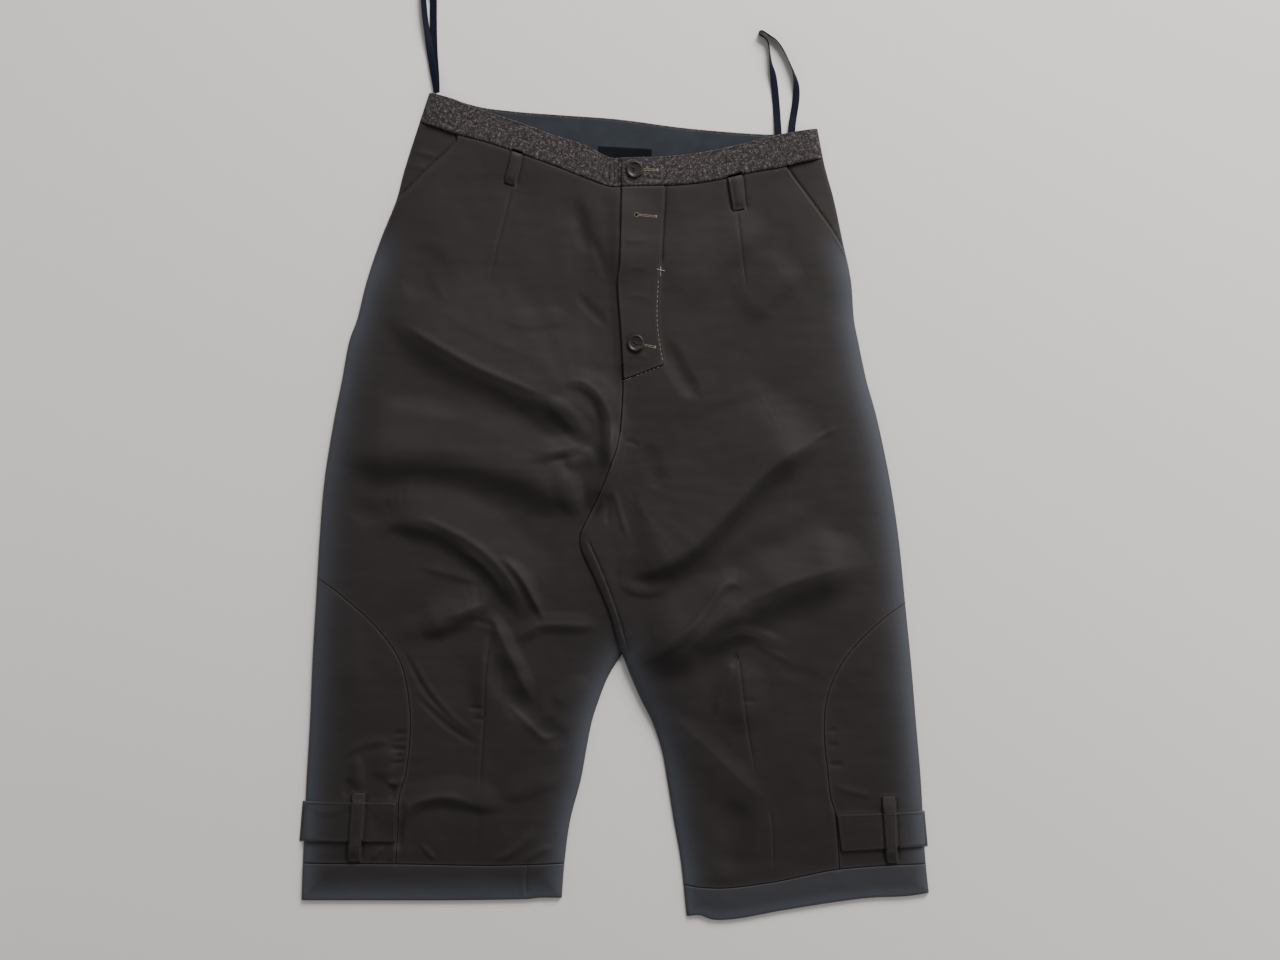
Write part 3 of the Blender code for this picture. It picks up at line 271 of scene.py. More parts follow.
FOLDS = tuple(Fold(*row) for row in (
    # Height, gentle, steep, line, crest, taper.  The last two may be left out.
    # First the large folds, those of the solids, a few of them lower or sharper, as the photo's light asks.
    (10, 92, 36, ((384, 309), (420, 332), (460, 357), (500, 377), (545, 398),
     (575, 419), (597, 442)), LEDGE, 0.25),    # hip drag, right
    (3.4, 20, 9, ((548, 392), (562, 385), (580, 384.5), (596, 393), (606, 410),
     (610.5, 435), (609, 462), (601, 490), (590, 520)), LEDGE, 0.35),    # crotch ring
    (0.8, 12, 13, ((552, 402), (580, 410), (597, 430))),    # crotch blob
    (2.6, 14, 9, ((528, 457), (560, 451), (594, 444)), LEDGE, 0.35),    # finger
    (-3, 9, 9, ((607, 450), (603, 480), (593, 512))),    # crotch hollow
    (10, 68, 40, ((334, 455), (400, 453), (450, 456), (490, 463), (530, 475),
     (560, 493), (584, 516)), LEDGE, 0.2),    # thigh drag, right
    (3.5, 16, 20, ((558, 462), (570, 488), (580, 520)), SOFT, 0.4),    # thigh bump
    (7, 48, 21, ((376, 529), (395, 521), (415, 520), (450, 531), (480, 551),
     (505, 573), (519, 598), (526, 624)), LEDGE, 0.22),    # knee arc, right
    (3.2, 11, 8, ((498, 554), (520, 573), (534, 598), (545, 622)), KEEN),    # knee arc, inner
    (5, 28, 17, ((420, 634), (455, 616), (478, 606), (493, 609)), LEDGE),    # dart tip, outer
    (4.2, 10, 26, ((486, 606), (499, 630), (511, 656), (523, 682), (535, 708)), LEDGE),    # dart tip, inner
    (-3.6, 24, 22, ((498, 650), (514, 688), (542, 728)), SOFT, 0.35),    # dart hollow, right
    (2.2, 14, 20, ((489, 630), (487, 670), (485, 720)), LEDGE, 0.35),    # dart ridge, right
    (2.2, 12, 9, ((512, 643), (531, 630), (548, 624), (604, 626)), LEDGE),    # inner crease
    (3, 22, 10, ((399, 838), (403, 816), (414, 804), (434, 797), (460, 798),
     (486, 803), (508, 806)), LEDGE, 0.2),    # low fold, right
    (1.6, 20, 16, ((582, 184), (594, 222), (609, 264)), SOFT, 0.4),    # fly swell, right
    (12, 80, 26, ((622, 574), (660, 563), (687, 548), (712, 525), (735, 500),
     (760, 472), (787, 453), (826, 435)), LEDGE, 0.2),    # knee drag, left
    (2.4, 26, 24, ((690, 575), (740, 544), (790, 520), (818, 498))),    # second drag, left
    (12.5, 50, 37, ((640, 668), (665, 656), (690, 638), (715, 623), (745, 605),
     (780, 586), (820, 573), (872, 558)), LEDGE, 0.2),    # calf drag, left
    (4, 22, 10, ((636, 664), (664, 648), (690, 625), (708, 603), (722, 585), (736, 582),
     (746, 590)), LEDGE, 0.25),    # drag peak
    (1.6, 8, 12, ((692, 656), (718, 641), (742, 633), (762, 637), (792, 648)), LEDGE),    # dart tip, left
    (3.5, 26, 34, ((737, 652), (741, 690), (748, 735)), LEDGE, 0.35),    # dart ridge, left
    (2.4, 22, 36, ((664, 712), (700, 748), (735, 780), (768, 806))),    # calf ridge, left
    (3.2, 46, 26, ((686, 320), (700, 287), (722, 256), (770, 220)), LEDGE),    # pocket drag, left
    (2.6, 40, 20, ((742, 324), (766, 298), (803, 266)), LEDGE),    # hip drag, left
    (-2.2, 12, 14, ((664, 338), (678, 370), (699, 402))),    # fly end drag
    # The small folds, which only the cloth has.
    (3.6, 46, 40, ((622, 176), (621, 200), (620, 230), (617, 300)), LEDGE, 0.4),
    (1.4, 46, 12, ((621, 183), (620.5, 200), (619, 240), (617.5, 290)), LEDGE, 0.35),
    (1.0, 40, 6, ((620, 225), (617, 285), (620, 330), (622, 378)), LEDGE, 0.1),
    (-1.2, 12, 12, ((576, 196), (580, 226), (590, 258))),
    (1.0, 5, 4, ((556, 386), (570, 382), (584, 383), (597, 393), (607, 409), (611, 426), (611, 445),
     (608, 462), (603, 480), (598, 497)), KEEN),
    (8.5, 10, 25, ((607, 420), (612, 438), (611, 462), (605, 486), (593, 516)), LEDGE, 0.3),
    (2.4, 8, 14, ((545, 399), (560, 408), (577, 424), (593, 444)), LEDGE, 0.25),
    (2.8, 5, 18, ((562, 459), (580, 457), (597, 449)), LEDGE, 0.3),
    (0.9, 5, 5, ((540, 455), (562, 450.5), (580, 447.5), (594, 443.5)), KEEN, 0.4),
    (-0.8, 4, 4, ((546, 463), (566, 458), (588, 453))),
    (1.3, 7, 6, ((400, 322), (440, 347), (480, 369), (515, 384), (548, 398)), KEEN, 0.2),
    (0.3, 14, 8, ((430, 300), (470, 330), (520, 352), (560, 366)), KEEN),
    (1.3, 7, 6, ((405, 522), (425, 520), (450, 530), (478, 546), (503, 569), (517, 592), (524, 612)), KEEN),
    (1.1, 5, 6, ((452, 545), (478, 560), (497, 580), (508, 603)), KEEN),
    (0.9, 4, 5, ((505, 561), (524, 582), (536, 603), (546, 622)), KEEN),
    (1.2, 12, 8, ((418, 566), (452, 574), (486, 584)), KEEN),
    (1.2, 5, 7, ((446, 619), (464, 611.5), (480, 605.5), (490, 607)), KEEN),
    (1.0, 5, 8, ((487, 606), (499, 630), (511, 656), (524, 684), (536, 705)), KEEN),
    (-0.8, 4, 5, ((470, 619), (482, 621), (500, 627))),
    (1.8, 14, 20, ((390, 636), (420, 626), (452, 615), (482, 606)), LEDGE, 0.3),
    (-1.8, 6, 8, ((494, 622), (492, 640), (486, 664))),
    (1.8, 5, 26, ((490, 634), (487, 664), (485, 700)), LEDGE, 0.3),
    (0.9, 4, 5, ((513, 642), (530, 630), (543, 624), (570, 624), (602, 626)), KEEN),
    (-1.0, 3.5, 3.5, ((400, 642), (412, 664), (425, 688), (440, 706), (456, 720))),
    (0.8, 5, 5, ((405, 645), (419, 668), (432, 690), (452, 714), (486, 742)), KEEN),
    (-1.0, 4, 4, ((412, 690), (430, 708), (452, 728), (484, 748))),
    (1.3, 7, 5, ((400, 834), (403, 815), (415, 802.5), (440, 796), (460, 798), (478, 804)), KEEN),
    (2.0, 9, 9, ((356, 750), (358, 768), (360, 792)), SOFT, 0.35),
    (2.4, 8, 16, ((396, 742), (388, 758), (384, 784)), LEDGE, 0.35),
    (1.2, 9, 7, ((344, 756), (362, 745), (380, 741), (398, 744)), KEEN),
    (-1.6, 6, 6, ((350, 776), (348, 788), (347, 799))),
    (1.4, 5, 5, ((386, 778), (396, 783), (407, 777)), KEEN),
    (-1.4, 3, 5, ((395, 782), (394, 790), (393, 800))),
    (-1.0, 3, 3, ((393, 733), (401, 732.5), (409, 732))),
    (-0.8, 2.6, 2.6, ((395, 741), (402, 740.5), (409, 740))),
    (-1.2, 3, 3, ((390, 748.5), (398, 748), (409, 748))),
    (-0.9, 2.6, 2.6, ((394, 755.5), (401, 755), (408, 754))),
    (-1.2, 3, 3, ((391, 763), (398, 761.5), (407, 760))),
    (1.4, 4, 4, ((372, 861), (378, 852), (386, 844)), KEEN),
    (1.2, 4, 4, ((388, 861), (394, 853), (398, 845)), KEEN),
    (1.2, 5, 4, ((420, 842), (428, 851), (438, 861)), KEEN),
    (-0.5, 5, 5, ((476, 800), (478, 822), (476, 848))),
    (1.8, 9, 7, ((492, 861), (512, 852), (528, 838), (534, 824)), KEEN),
    (1.4, 8, 6, ((524, 862), (540, 851), (556, 846)), KEEN),
    (-0.8, 7, 6, ((592, 236), (600, 258), (606, 282))),
    (-1.0, 7, 7, ((576, 293), (590, 310), (608, 328))),
    (0.8, 14, 7, ((500, 320), (530, 324), (574, 319)), LEDGE),
    (-1.6, 24, 20, ((436, 240), (424, 272), (416, 306))),
    (0.4, 12, 9, ((428, 262), (436, 284), (450, 306)), KEEN),
    (-1.4, 18, 16, ((380, 395), (430, 402), (480, 415))),
    (-1.6, 16, 16, ((348, 508), (380, 514), (405, 502))),
    (1.4, 20, 22, ((345, 600), (352, 650), (350, 700))),
    (1.4, 12, 16, ((552, 706), (574, 690), (590, 676)), LEDGE),
    (-1.6, 14, 14, ((540, 716), (556, 734), (572, 742))),
    (1.0, 8, 8, ((655, 566), (690, 549), (730, 509), (770, 469), (812, 442), (838, 427)), KEEN),
    (0.9, 4, 4, ((812, 441), (824, 434), (838, 429)), KEEN),
    (0.9, 16, 10, ((676, 420), (720, 398), (770, 388)), LEDGE),
    (0.5, 20, 14, ((780, 520), (812, 500), (840, 490)), LEDGE),
    (1.0, 9, 7, ((735, 607), (745, 603), (780, 586), (820, 573), (850, 566)), KEEN),
    (2.6, 16, 18, ((676, 646), (700, 631), (725, 614), (752, 599)), LEDGE, 0.3),
    (1.6, 5, 6, ((660, 650), (690, 625), (708, 603), (721, 585.5), (733, 582.5), (745, 589)), KEEN),
    (0.6, 3, 3, ((712, 648), (722, 640), (735, 634), (750, 634.5), (768, 641)), KEEN),
    (2.0, 2, 14, ((737, 655), (731, 672), (722, 694), (715, 716)), KEEN, 0.25),
    (0.4, 3, 4, ((722, 633), (738, 628.5), (757, 631), (784, 642)), KEEN),
    (-1.4, 3, 4, ((737, 652), (735, 658), (731, 668))),
    (0.7, 7, 6, ((752, 643), (772, 652), (790, 662)), KEEN),
    (-0.7, 9, 11, ((776, 665), (798, 672), (822, 678))),
    (0.35, 5, 6, ((672, 712), (704, 744), (740, 778), (764, 802)), KEEN),
    (-2.8, 28, 26, ((734, 796), (733, 838), (728, 880))),
    (-1.0, 14, 14, ((644, 440), (652, 465), (662, 492))),
    (-0.8, 3.5, 3.5, ((826, 731), (832, 730), (838, 729.5))),
    (-0.8, 3.5, 3.5, ((826, 744), (832, 744), (838, 744))),
    (-1.0, 3.5, 3.5, ((827, 763), (835, 764), (843, 762))),
    (0.8, 7, 6, ((830, 784), (850, 790), (874, 796)), KEEN),
    (-0.8, 3, 3, ((741, 701), (749, 700), (757, 701))),
    (1.3, 4, 4.5, ((610, 480), (617, 500), (622, 519), (629, 543)), KEEN),
    (1.2, 5, 5, ((631, 547), (624, 562), (617, 577)), KEEN),
    (-1.1, 4, 4, ((607, 490), (608, 509), (607, 528))),
    (1.6, 8, 6, ((618, 578), (632, 588), (652, 590), (672, 580)), LEDGE),
    (-0.7, 3, 3, ((621, 441), (632, 443), (641, 447))),
    (-1.2, 3, 3, ((468, 707), (477, 707), (486, 707.5))),
    (-1.0, 3, 3, ((472, 718), (479, 718), (486, 718))),
    (1.1, 4, 5, ((404, 151), (420, 153), (441, 158)), KEEN),
    (1.0, 4, 5, ((402, 165), (414, 166.5), (428, 169)), KEEN),
    (0.5, 4, 3, ((622, 274), (634, 269), (652, 272)), KEEN),
    (0.45, 4, 3, ((621, 299), (636, 297), (654, 300)), KEEN),
    (0.4, 4, 3, ((622, 240), (634, 243), (650, 241)), KEEN),
    (0.5, 4, 3, ((624, 360), (636, 356), (652, 360)), KEEN),
    (1.6, 18, 10, ((496, 794), (524, 790), (562, 776)), LEDGE),
    (-1.8, 4, 6, ((406, 800), (402, 824), (400, 852)), SOFT, 0.2),
    (1.3, 5, 8, ((505, 700), (528, 722), (548, 738), (566, 726)), KEEN),
    (1.5, 16, 14, ((650, 568), (690, 549), (728, 510), (768, 470)), LEDGE),
    (0.8, 9, 6, ((306, 806), (330, 812), (350, 806)), KEEN),
    (-0.7, 8, 8, ((372, 812), (378, 826), (374, 838))),
))


@dataclass(frozen=True)
class Dart:
    """A sewn line in a panel: a narrow groove with a soft ridge beside it."""

    line: Line
    depth: float = 0.6
    ridge: float = 0.15
    fade: float = 0.3           # share of the line over which its foot fades

    def rise(self, points: Points) -> Points:
        """How much the dart lifts each (across, down) point."""
        dist, side, along = nearest(points, spline(self.line, 4.0), 14.0)
        ends = smooth_step(along / 0.08) * smooth_step((1.0 - along) / self.fade)
        ridge = np.where(side > 0, np.exp(-((dist - 3.6) / 3.0) ** 2), 0.0)
        return (self.ridge * ridge - self.depth * np.exp(-(dist / 0.9) ** 2)) * ends


def groove(name: str, high: bool, off: float = 1.5) -> Dart:
    """The pressed-down cloth along a long side of a strap.

    Args:
        name: The strap, by its name in PATCHES.
        high: Whether it is the side at high across.
        off: How far out of the strap's edge it runs, in millimetres.

    Returns:
        The groove.
    """
    a, b, c, d = PATCHES[name]
    ends = (b, c) if high else (a, d)
    return Dart(tuple((x + (off if high else -off), y) for x, y in ends), 0.9, 0.0, 0.08)


DARTS = (
    Dart(((512, 188), (505, 218), (496.5, 252), (488.5, 288))),
    Dart(((737, 212), (740, 240), (743, 266), (747, 296))),
    Dart(((493, 630), (490, 645), (487, 665), (485.5, 690), (484.5, 718), (482, 760), (478, 808)),
         0.8, 0.25),
    Dart(((737.5, 654), (740, 672), (744, 705), (750, 745), (757, 782)), 0.7, 0.2),
    Dart(((770, 808), (772, 830), (773, 850), (773, 874)), 0.5, 0.15),
    Dart(((528, 864), (526, 880), (527, 898)), 0.7, 0.4),
    Dart(((587, 537), (598, 561), (610, 591), (622, 627), (631, 664)), 0.9, 0.4),
    # tucks in the end of the right band, and the pressed line beside the placket
    Dart(((609.6, 158.5), (609.4, 172), (608.8, 185)), 1.7, 0.0, 0.12),
    Dart(((613.9, 159), (613.8, 172), (613.4, 186)), 1.3, 0.0, 0.12),
    Dart(((618.0, 160), (618.1, 172), (617.8, 187)), 1.8, 0.0, 0.1),
    Dart(((665.6, 186), (663.1, 230), (661.2, 268)), 1.5, 0.0, 0.1),
    # cloth pressed in along the pocket mouths
    Dart(((455, 132), (453.6, 144.5), (425, 172.6), (409, 188.6), (392, 203)), 1.1, 0.0, 0.05),
    Dart(((789.2, 164), (789.4, 171), (811.4, 201.6), (833.4, 232), (850, 260)), 1.1, 0.0, 0.05),
    *(groove(name, high) for name in LOOPS for high in (False, True)),
)


def plan(point: tuple[float, float]) -> tuple[float, float]:
    """Turn an (across, down) position into X and Y of the object's frame, both in millimetres."""
    return (point[0] - CENTRE[0], CENTRE[1] - point[1])


def place(across: float, down: float, height: float = 0.0) -> Vector:
    """Turn a table position and a height in millimetres into a point in metres."""
    return Vector(((across - CENTRE[0]) * MM, (CENTRE[1] - down) * MM, height * MM))


def smooth_step(value: Points) -> Points:
    """Ease from 0 to 1, with flat ends."""
    t = np.clip(value, 0.0, 1.0)
    return t * t * (3.0 - 2.0 * t)


def round_over(depth: Points, radius: float) -> Points:
    """A quarter round: 0 at the edge, 1 from radius inwards."""
    t = np.clip(depth / radius, 0.0, 1.0)
    return np.sqrt(1.0 - (1.0 - t) ** 2)


def run_along(line: Points) -> Points:
    """Length of a line up to each of its points, measured in its first two columns."""
    return np.concatenate([[0.0], np.cumsum(np.linalg.norm(np.diff(line[:, :2], axis=0), axis=1))])


def spline(points: Line, step: float) -> Points:
    """Read a Catmull-Rom curve through the points at even steps.

    Args:
        points: Its points, with any number of columns.
        step: Spacing in millimetres, measured in the first two columns.

    Returns:
        The points along it, both ends included.
    """
    knots = np.array([points[0], *points, points[-1]], dtype=float)
    pieces = []
    for i in range(1, len(knots) - 2):
        a, b, c, d = knots[i - 1:i + 3]
        t = np.linspace(0.0, 1.0, 24, endpoint=False)[:, None]
        pieces.append(0.5 * (2 * b + (c - a) * t + (2 * a - 5 * b + 4 * c - d) * t ** 2
                             + (3 * b - a - 3 * c + d) * t ** 3))
    path = np.vstack([*pieces, knots[-1:]])
    run = run_along(path)
    stops = np.linspace(0.0, run[-1], max(2, round(run[-1] / step) + 1))
    return np.column_stack([np.interp(stops, run, path[:, k]) for k in range(path.shape[1])])


def straight(corners: Line, step: float) -> Points:
    """Evenly stepped points along the straight runs between corners, the last corner included."""
    runs = [spline(corners[k:k + 2], step)[:-1] for k in range(len(corners) - 1)]
    return np.vstack([*runs, np.array(corners[-1:], dtype=float)])


def nearest(points: Points, line: Points, reach: float) -> tuple[Points, Points, Points]:
    """Measure points against a line.

    Args:
        points: (n, 2) positions.
        line: (m, 2) points of the line.
        reach: Points further off than this are left at a distance of 1e6.

    Returns:
        Distance to the line, side (+1 on the hem side of a line that runs to high across) and place
        along it from 0 to 1, each for every point.
    """
    dist, side, along = np.full(len(points), 1e6), np.ones(len(points)), np.zeros(len(points))
    low, high = line.min(0) - reach, line.max(0) + reach
    near = np.nonzero(((points > low) & (points < high)).all(1))[0]
    start, run = line[:-1], np.diff(line, axis=0)
    size = np.linalg.norm(run, axis=1)
    begin = np.concatenate([[0.0], np.cumsum(size)])
    for chunk in np.array_split(near, max(1, len(near) // 20000)):
        rel = points[chunk][:, None, :] - start[None]
        t = np.clip((rel * run).sum(2) / np.maximum(size ** 2, 1e-9), 0.0, 1.0)
        gap = np.linalg.norm(rel - t[..., None] * run[None], axis=2)
        best = gap.argmin(1)
        rows = np.arange(len(chunk))
        cross = run[best, 0] * rel[rows, best, 1] - run[best, 1] * rel[rows, best, 0]
        dist[chunk] = gap[rows, best]
        side[chunk] = np.where(cross >= 0, 1.0, -1.0)
        along[chunk] = (begin[best] + t[rows, best] * size[best]) / begin[-1]
    return dist, side, along


def leg_lines(step: float) -> dict[str, Points]:
    """All curves of the front surface as evenly stepped lines.

    Args:
        step: Spacing along them in millimetres.

    Returns:
        The lines by name.
    """
    lines = {name: spline(points, step) for name, points in CURVES.items()}
    lines.update({name: straight(CURVES[name], step) for name in STRAIGHT})
    lines["fly"] = np.vstack([spline(CURVES["fly"][:2], step)[:-1], spline(CURVES["fly"][1:], step)])
    for name, rows, column, top, bottom in (
            ("side_right", SIDES, 1, WAIST_RIGHT, HEM_OUT_RIGHT),
            ("side_left", SIDES, 2, WAIST_LEFT, HEM_OUT_LEFT),
            ("inseam_right", INSEAMS, 1, CROTCH, HEM_IN_RIGHT),
            ("inseam_left", INSEAMS, 2, CROTCH, HEM_IN_LEFT)):
        lines[name] = spline((top, *((row[column], row[0]) for row in rows), bottom), step)
    lines.update({name: straight((*corners, corners[0]), step) for name, corners in PATCHES.items()})
    return lines


WRAPPED = ("side_right", "side_left", "inseam_right", "inseam_left")


class Cut:
    """A plane area cut into cells by lines, with the triangles of each cell."""

    def __init__(self, lines: list[Points], extra: Points, cells: dict[str, tuple[float, float]]) -> None:
        """Triangulate the lines and the extra points, and find the cells.

        Args:
            lines: Lines of (across, down) points that divide the area.
            extra: Further (across, down) points for the mesh.
            cells: A place in each wanted cell, by name.
        """
        points, edges = [], []
        for line in lines:
            first = len(points)
            points.extend(plan(p) for p in line)
            edges.extend((first + k, first + k + 1) for k in range(len(line) - 1))
        points.extend(plan(p) for p in extra)
        verts, out_edges, faces, _, source, _ = delaunay_2d_cdt(points, edges, [], 0, 1e-4, True)
        self.points = np.array([tuple(v) for v in verts])
        self.faces = np.array(faces, dtype=np.int64)
        walls = np.array([sorted(e) for e, found in zip(out_edges, source) if found], dtype=np.int64)
        self.cells = self.flood(walls, cells)

    def flood(self, walls: Points, cells: dict[str, tuple[float, float]]) -> dict[str, Points]:
        """Collect the triangles round each cell's place, stopping at the lines.

        Args:
            walls: (n, 2) edges that lie on lines.
            cells: A place in each wanted cell.

        Returns:
            Indices of each cell's triangles.
        """
        count = len(self.points)
        sides = np.sort(np.stack([self.faces, np.roll(self.faces, -1, axis=1)], axis=2), axis=2)
        keys = (sides[..., 0] * count + sides[..., 1]).ravel()
        shut = np.isin(keys, walls[:, 0] * count + walls[:, 1])
        order = np.argsort(keys, kind="stable")
        ranked = keys[order]
        twin = np.full(len(keys), -1)
        pairs = np.nonzero(ranked[1:] == ranked[:-1])[0]
        twin[order[pairs]], twin[order[pairs + 1]] = order[pairs + 1], order[pairs]
        twin[shut] = -1
        others = (twin.reshape(-1, 3) // 3).tolist()
        open_sides = (twin.reshape(-1, 3) >= 0).tolist()
        found = {}
        for name, spot in cells.items():
            start = self.face_at(spot)
            seen, stack = {start}, [start]
            while stack:
                face = stack.pop()
                for is_open, other in zip(open_sides[face], others[face]):
                    if is_open and other not in seen:
                        seen.add(other)
                        stack.append(other)
            found[name] = np.array(sorted(seen))
        return found

    def face_at(self, spot: tuple[float, float]) -> int:
        """The triangle that holds an (across, down) place."""
        corners = self.points[self.faces]
        edge = np.roll(corners, -1, axis=1) - corners
        to = np.array(plan(spot)) - corners
        cross = edge[..., 0] * to[..., 1] - edge[..., 1] * to[..., 0]
        return int(cross.min(axis=1).argmax())

    def table_points(self) -> Points:
        """The points as (across, down)."""
        return np.column_stack([self.points[:, 0] + CENTRE[0], CENTRE[1] - self.points[:, 1]])

    def faces_of(self, *cells: str) -> Points:
        """The triangles of several cells, each once."""
        return self.faces[np.unique(np.concatenate([self.cells[name] for name in cells]))]

    def close(self, faces: Points, bottom: Points, top: Points,
              inset: Points | float = 0.4 * GAP) -> tuple[Points, Points, Points]:
        """Close some of the triangles into a thin shell between two heights.

        Args:
            faces: The triangles.
            bottom: Height of the underside at each point of the cut.
            top: Height of the upper side.
            inset: How far the rim is drawn in, so that neighbours stay apart.

        Returns:
            The shell's vertices and faces, and the points of the cut that it uses.
        """
        moved, border = self.points.copy(), border_of(faces)
        run = moved[border[:, 1]] - moved[border[:, 0]]
        run /= np.maximum(np.linalg.norm(run, axis=1)[:, None], 1e-9)
        total, count = np.zeros_like(moved), np.zeros(len(moved))
        for column in (0, 1):
            np.add.at(total, border[:, column], np.column_stack([-run[:, 1], run[:, 0]]))
            np.add.at(count, border[:, column], 1)
        rim = np.nonzero(count)[0]
        mean = total[rim] / count[rim][:, None]
        size = np.maximum(np.linalg.norm(mean, axis=1), 0.5)
        moved[rim] += (np.broadcast_to(inset, len(moved))[rim] / size ** 2)[:, None] * mean
        used = np.unique(faces)
        index = np.full(len(moved), -1)
        index[used] = np.arange(len(used))
        low, high = index[faces], index[faces] + len(used)
        a, b = index[border[:, 0]], index[border[:, 1]]
        solid = np.vstack([high, low[:, ::-1], np.column_stack([a, b, b + len(used)]),
                           np.column_stack([a, b + len(used), a + len(used)])])
        vertices = np.vstack([np.column_stack([moved[used], bottom[used]]),
                              np.column_stack([moved[used], top[used]])])
        return vertices, solid, used


def border_of(faces: Points) -> Points:
    """The directed edges of a set of triangles that belong to one triangle only."""
    directed = np.stack([faces, np.roll(faces, -1, axis=1)], axis=2).reshape(-1, 2)
    low, high = directed.min(1), directed.max(1)
    _, index, count = np.unique(low * (high.max() + 1) + high, return_index=True, return_counts=True)
    return directed[index[count == 1]]


def distance_to(points: Points, spots: Points, reach: float) -> Points:
    """Distance from each point to the nearest spot, up to a reach.

    Args:
        points: (n, 2) positions.
        spots: (m, 2) positions.
        reach: Points outside the spots' box by more than this are given this value.

    Returns:
        The distances, at most reach.
    """
    result = np.full(len(points), reach)
    if not len(spots):
        return result
    tree = KDTree(len(spots))
    for k, spot in enumerate(spots):
        tree.insert((spot[0], spot[1], 0.0), k)
    tree.balance()
    near = np.nonzero(((points > spots.min(0) - reach) & (points < spots.max(0) + reach)).all(1))[0]
    for k in near:
        result[k] = min(reach, tree.find((points[k, 0], points[k, 1], 0.0))[2])
    return result


def dense(lines: Iterable[Points], step: float = DENSE_STEP) -> Points:
    """Points at small steps along lines, for measuring distances."""
    rows = []
    for line in lines:
        run = run_along(line)
        stops = np.arange(0.0, run[-1] + step, step)
        rows.append(np.column_stack([np.interp(stops, run, line[:, k]) for k in range(2)]))
    return np.vstack(rows)


def rim_distance(table: Points, used: Points, rim: Points) -> Points:
    """How far in from a ply's rim its points lie.

    Args:
        table: (across, down) of every point of the cut.
        used: Indices of the ply's points.
        rim: (n, 2, 2) both ends of each edge of the rim.

    Returns:
        The distance at each point, RIM_REACH at the most and off the ply.
    """
    depth = np.full(len(table), RIM_REACH)
    depth[used] = distance_to(table[used], dense(rim, 0.5), RIM_REACH)
    return depth


def beside(line: Points, offset: float, start: float = 0.0, end: float = 1.0) -> Points:
    """A line moved sideways.

    Args:
        line: (across, down) points.
        offset: Millimetres, positive to the hem side of a line that runs to high across.
        start: Share of the line at which it starts.
        end: Share at which it ends.

    Returns:
        The moved points.
    """
    run = np.gradient(line, axis=0)
    run /= np.maximum(np.linalg.norm(run, axis=1)[:, None], 1e-9)
    moved = line + offset * np.column_stack([-run[:, 1], run[:, 0]])
    return moved[round(start * (len(line) - 1)):round(end * (len(line) - 1)) + 1]


def rows_beside(lines: list[Points], offsets: tuple[float, ...], spots: Points) -> list[Points]:
    """Rows of mesh points on both sides of lines.

    Args:
        lines: The lines.
        offsets: How far off each row runs, in millimetres.
        spots: Points on all lines; a row's points that come too close to them are left out.

    Returns:
        The rows.
    """
    rows = []
    for line in lines:
        for offset in (*offsets, *(-offset for offset in offsets)):
            row = beside(line, offset)
            rows.append(row[distance_to(row, spots, SEAM_REACH) > 0.93 * abs(offset)])
    return rows


def lattice_points(low: tuple[float, float], high: tuple[float, float], step: float) -> Points:
    """An even triangular lattice over a box, from its low corner to its high one."""
    return np.array([(x + (k % 2) * step / 2, y)
                     for k, y in enumerate(np.arange(low[1], high[1], step * 0.866))
                     for x in np.arange(low[0], high[0], step)])


def linear(colour: str, alpha: float = 1.0) -> tuple[float, float, float, float]:
    """Turn an sRGB hex colour into a linear one.

    Args:
        colour: Six hex digits.
        alpha: Its fourth value.

    Returns:
        Red, green, blue and alpha, linear.
    """
    values = [int(colour[k:k + 2], 16) / 255 for k in (0, 2, 4)]
    return (*(v / 12.92 if v <= 0.04045 else ((v + 0.055) / 1.055) ** 2.4 for v in values), alpha)


def add_node(tree: bpy.types.NodeTree, kind: str, settings: dict | None = None,
             values: dict | None = None, links: dict | None = None) -> bpy.types.Node:
    """Add a node to a material.

    Args:
        tree: The material's node tree.
        kind: The node's type, without its first word.
        settings: Its properties by name.
        values: Constant values by input name or number.
        links: Sockets to link in, by input name or number.

    Returns:
        The node.
    """
    node = tree.nodes.new("ShaderNode" + kind)
    for key, value in (settings or {}).items():
        setattr(node, key, value)
    for key, value in (values or {}).items():
        node.inputs[key].default_value = value
    for key, socket in (links or {}).items():
        tree.links.new(socket, node.inputs[key])
    return node


def set_stops(ramp: bpy.types.Node, stops: tuple[tuple[float, str], ...]) -> bpy.types.Node:
    """Give a colour ramp its stops.

    Args:
        ramp: The ramp node.
        stops: Position and hex colour of each.

    Returns:
        The ramp.
    """
    elements = ramp.color_ramp.elements
    while len(elements) < len(stops):
        elements.new(0.5)
    for element, (position, colour) in zip(elements, stops):
        element.position = position
        element.color = linear(colour)
    return ramp


def new_material(name: str, values: dict) -> tuple[bpy.types.Material, bpy.types.NodeTree]:
    """A Principled material with nothing linked to it.

    Args:
        name: Its name.
        values: The shader's constant values by input name.

    Returns:
        The material and its node tree.
    """
    material = bpy.data.materials.new(name)
    material.use_nodes = True
    tree = material.node_tree
    for key, value in values.items():
        tree.nodes["Principled BSDF"].inputs[key].default_value = value
    return material, tree


def mottle(tree: bpy.types.NodeTree, vector: bpy.types.NodeSocket, grain: dict,
           stops: tuple[tuple[float, str], ...]) -> tuple[bpy.types.Node, bpy.types.NodeSocket]:
    """Let the colour drift between tones.

    Args:
        tree: The material's node tree.
        vector: Where on the surface.
        grain: Constant values of the noise that it drifts with.
        stops: Position and hex colour of each tone.

    Returns:
        The noise, and the colour.
    """
    drift = add_node(tree, "TexNoise", None, grain, {"Vector": vector})
    tones = add_node(tree, "ValToRGB", links={"Fac": drift.outputs["Fac"]})
    return drift, set_stops(tones, stops).outputs["Color"]


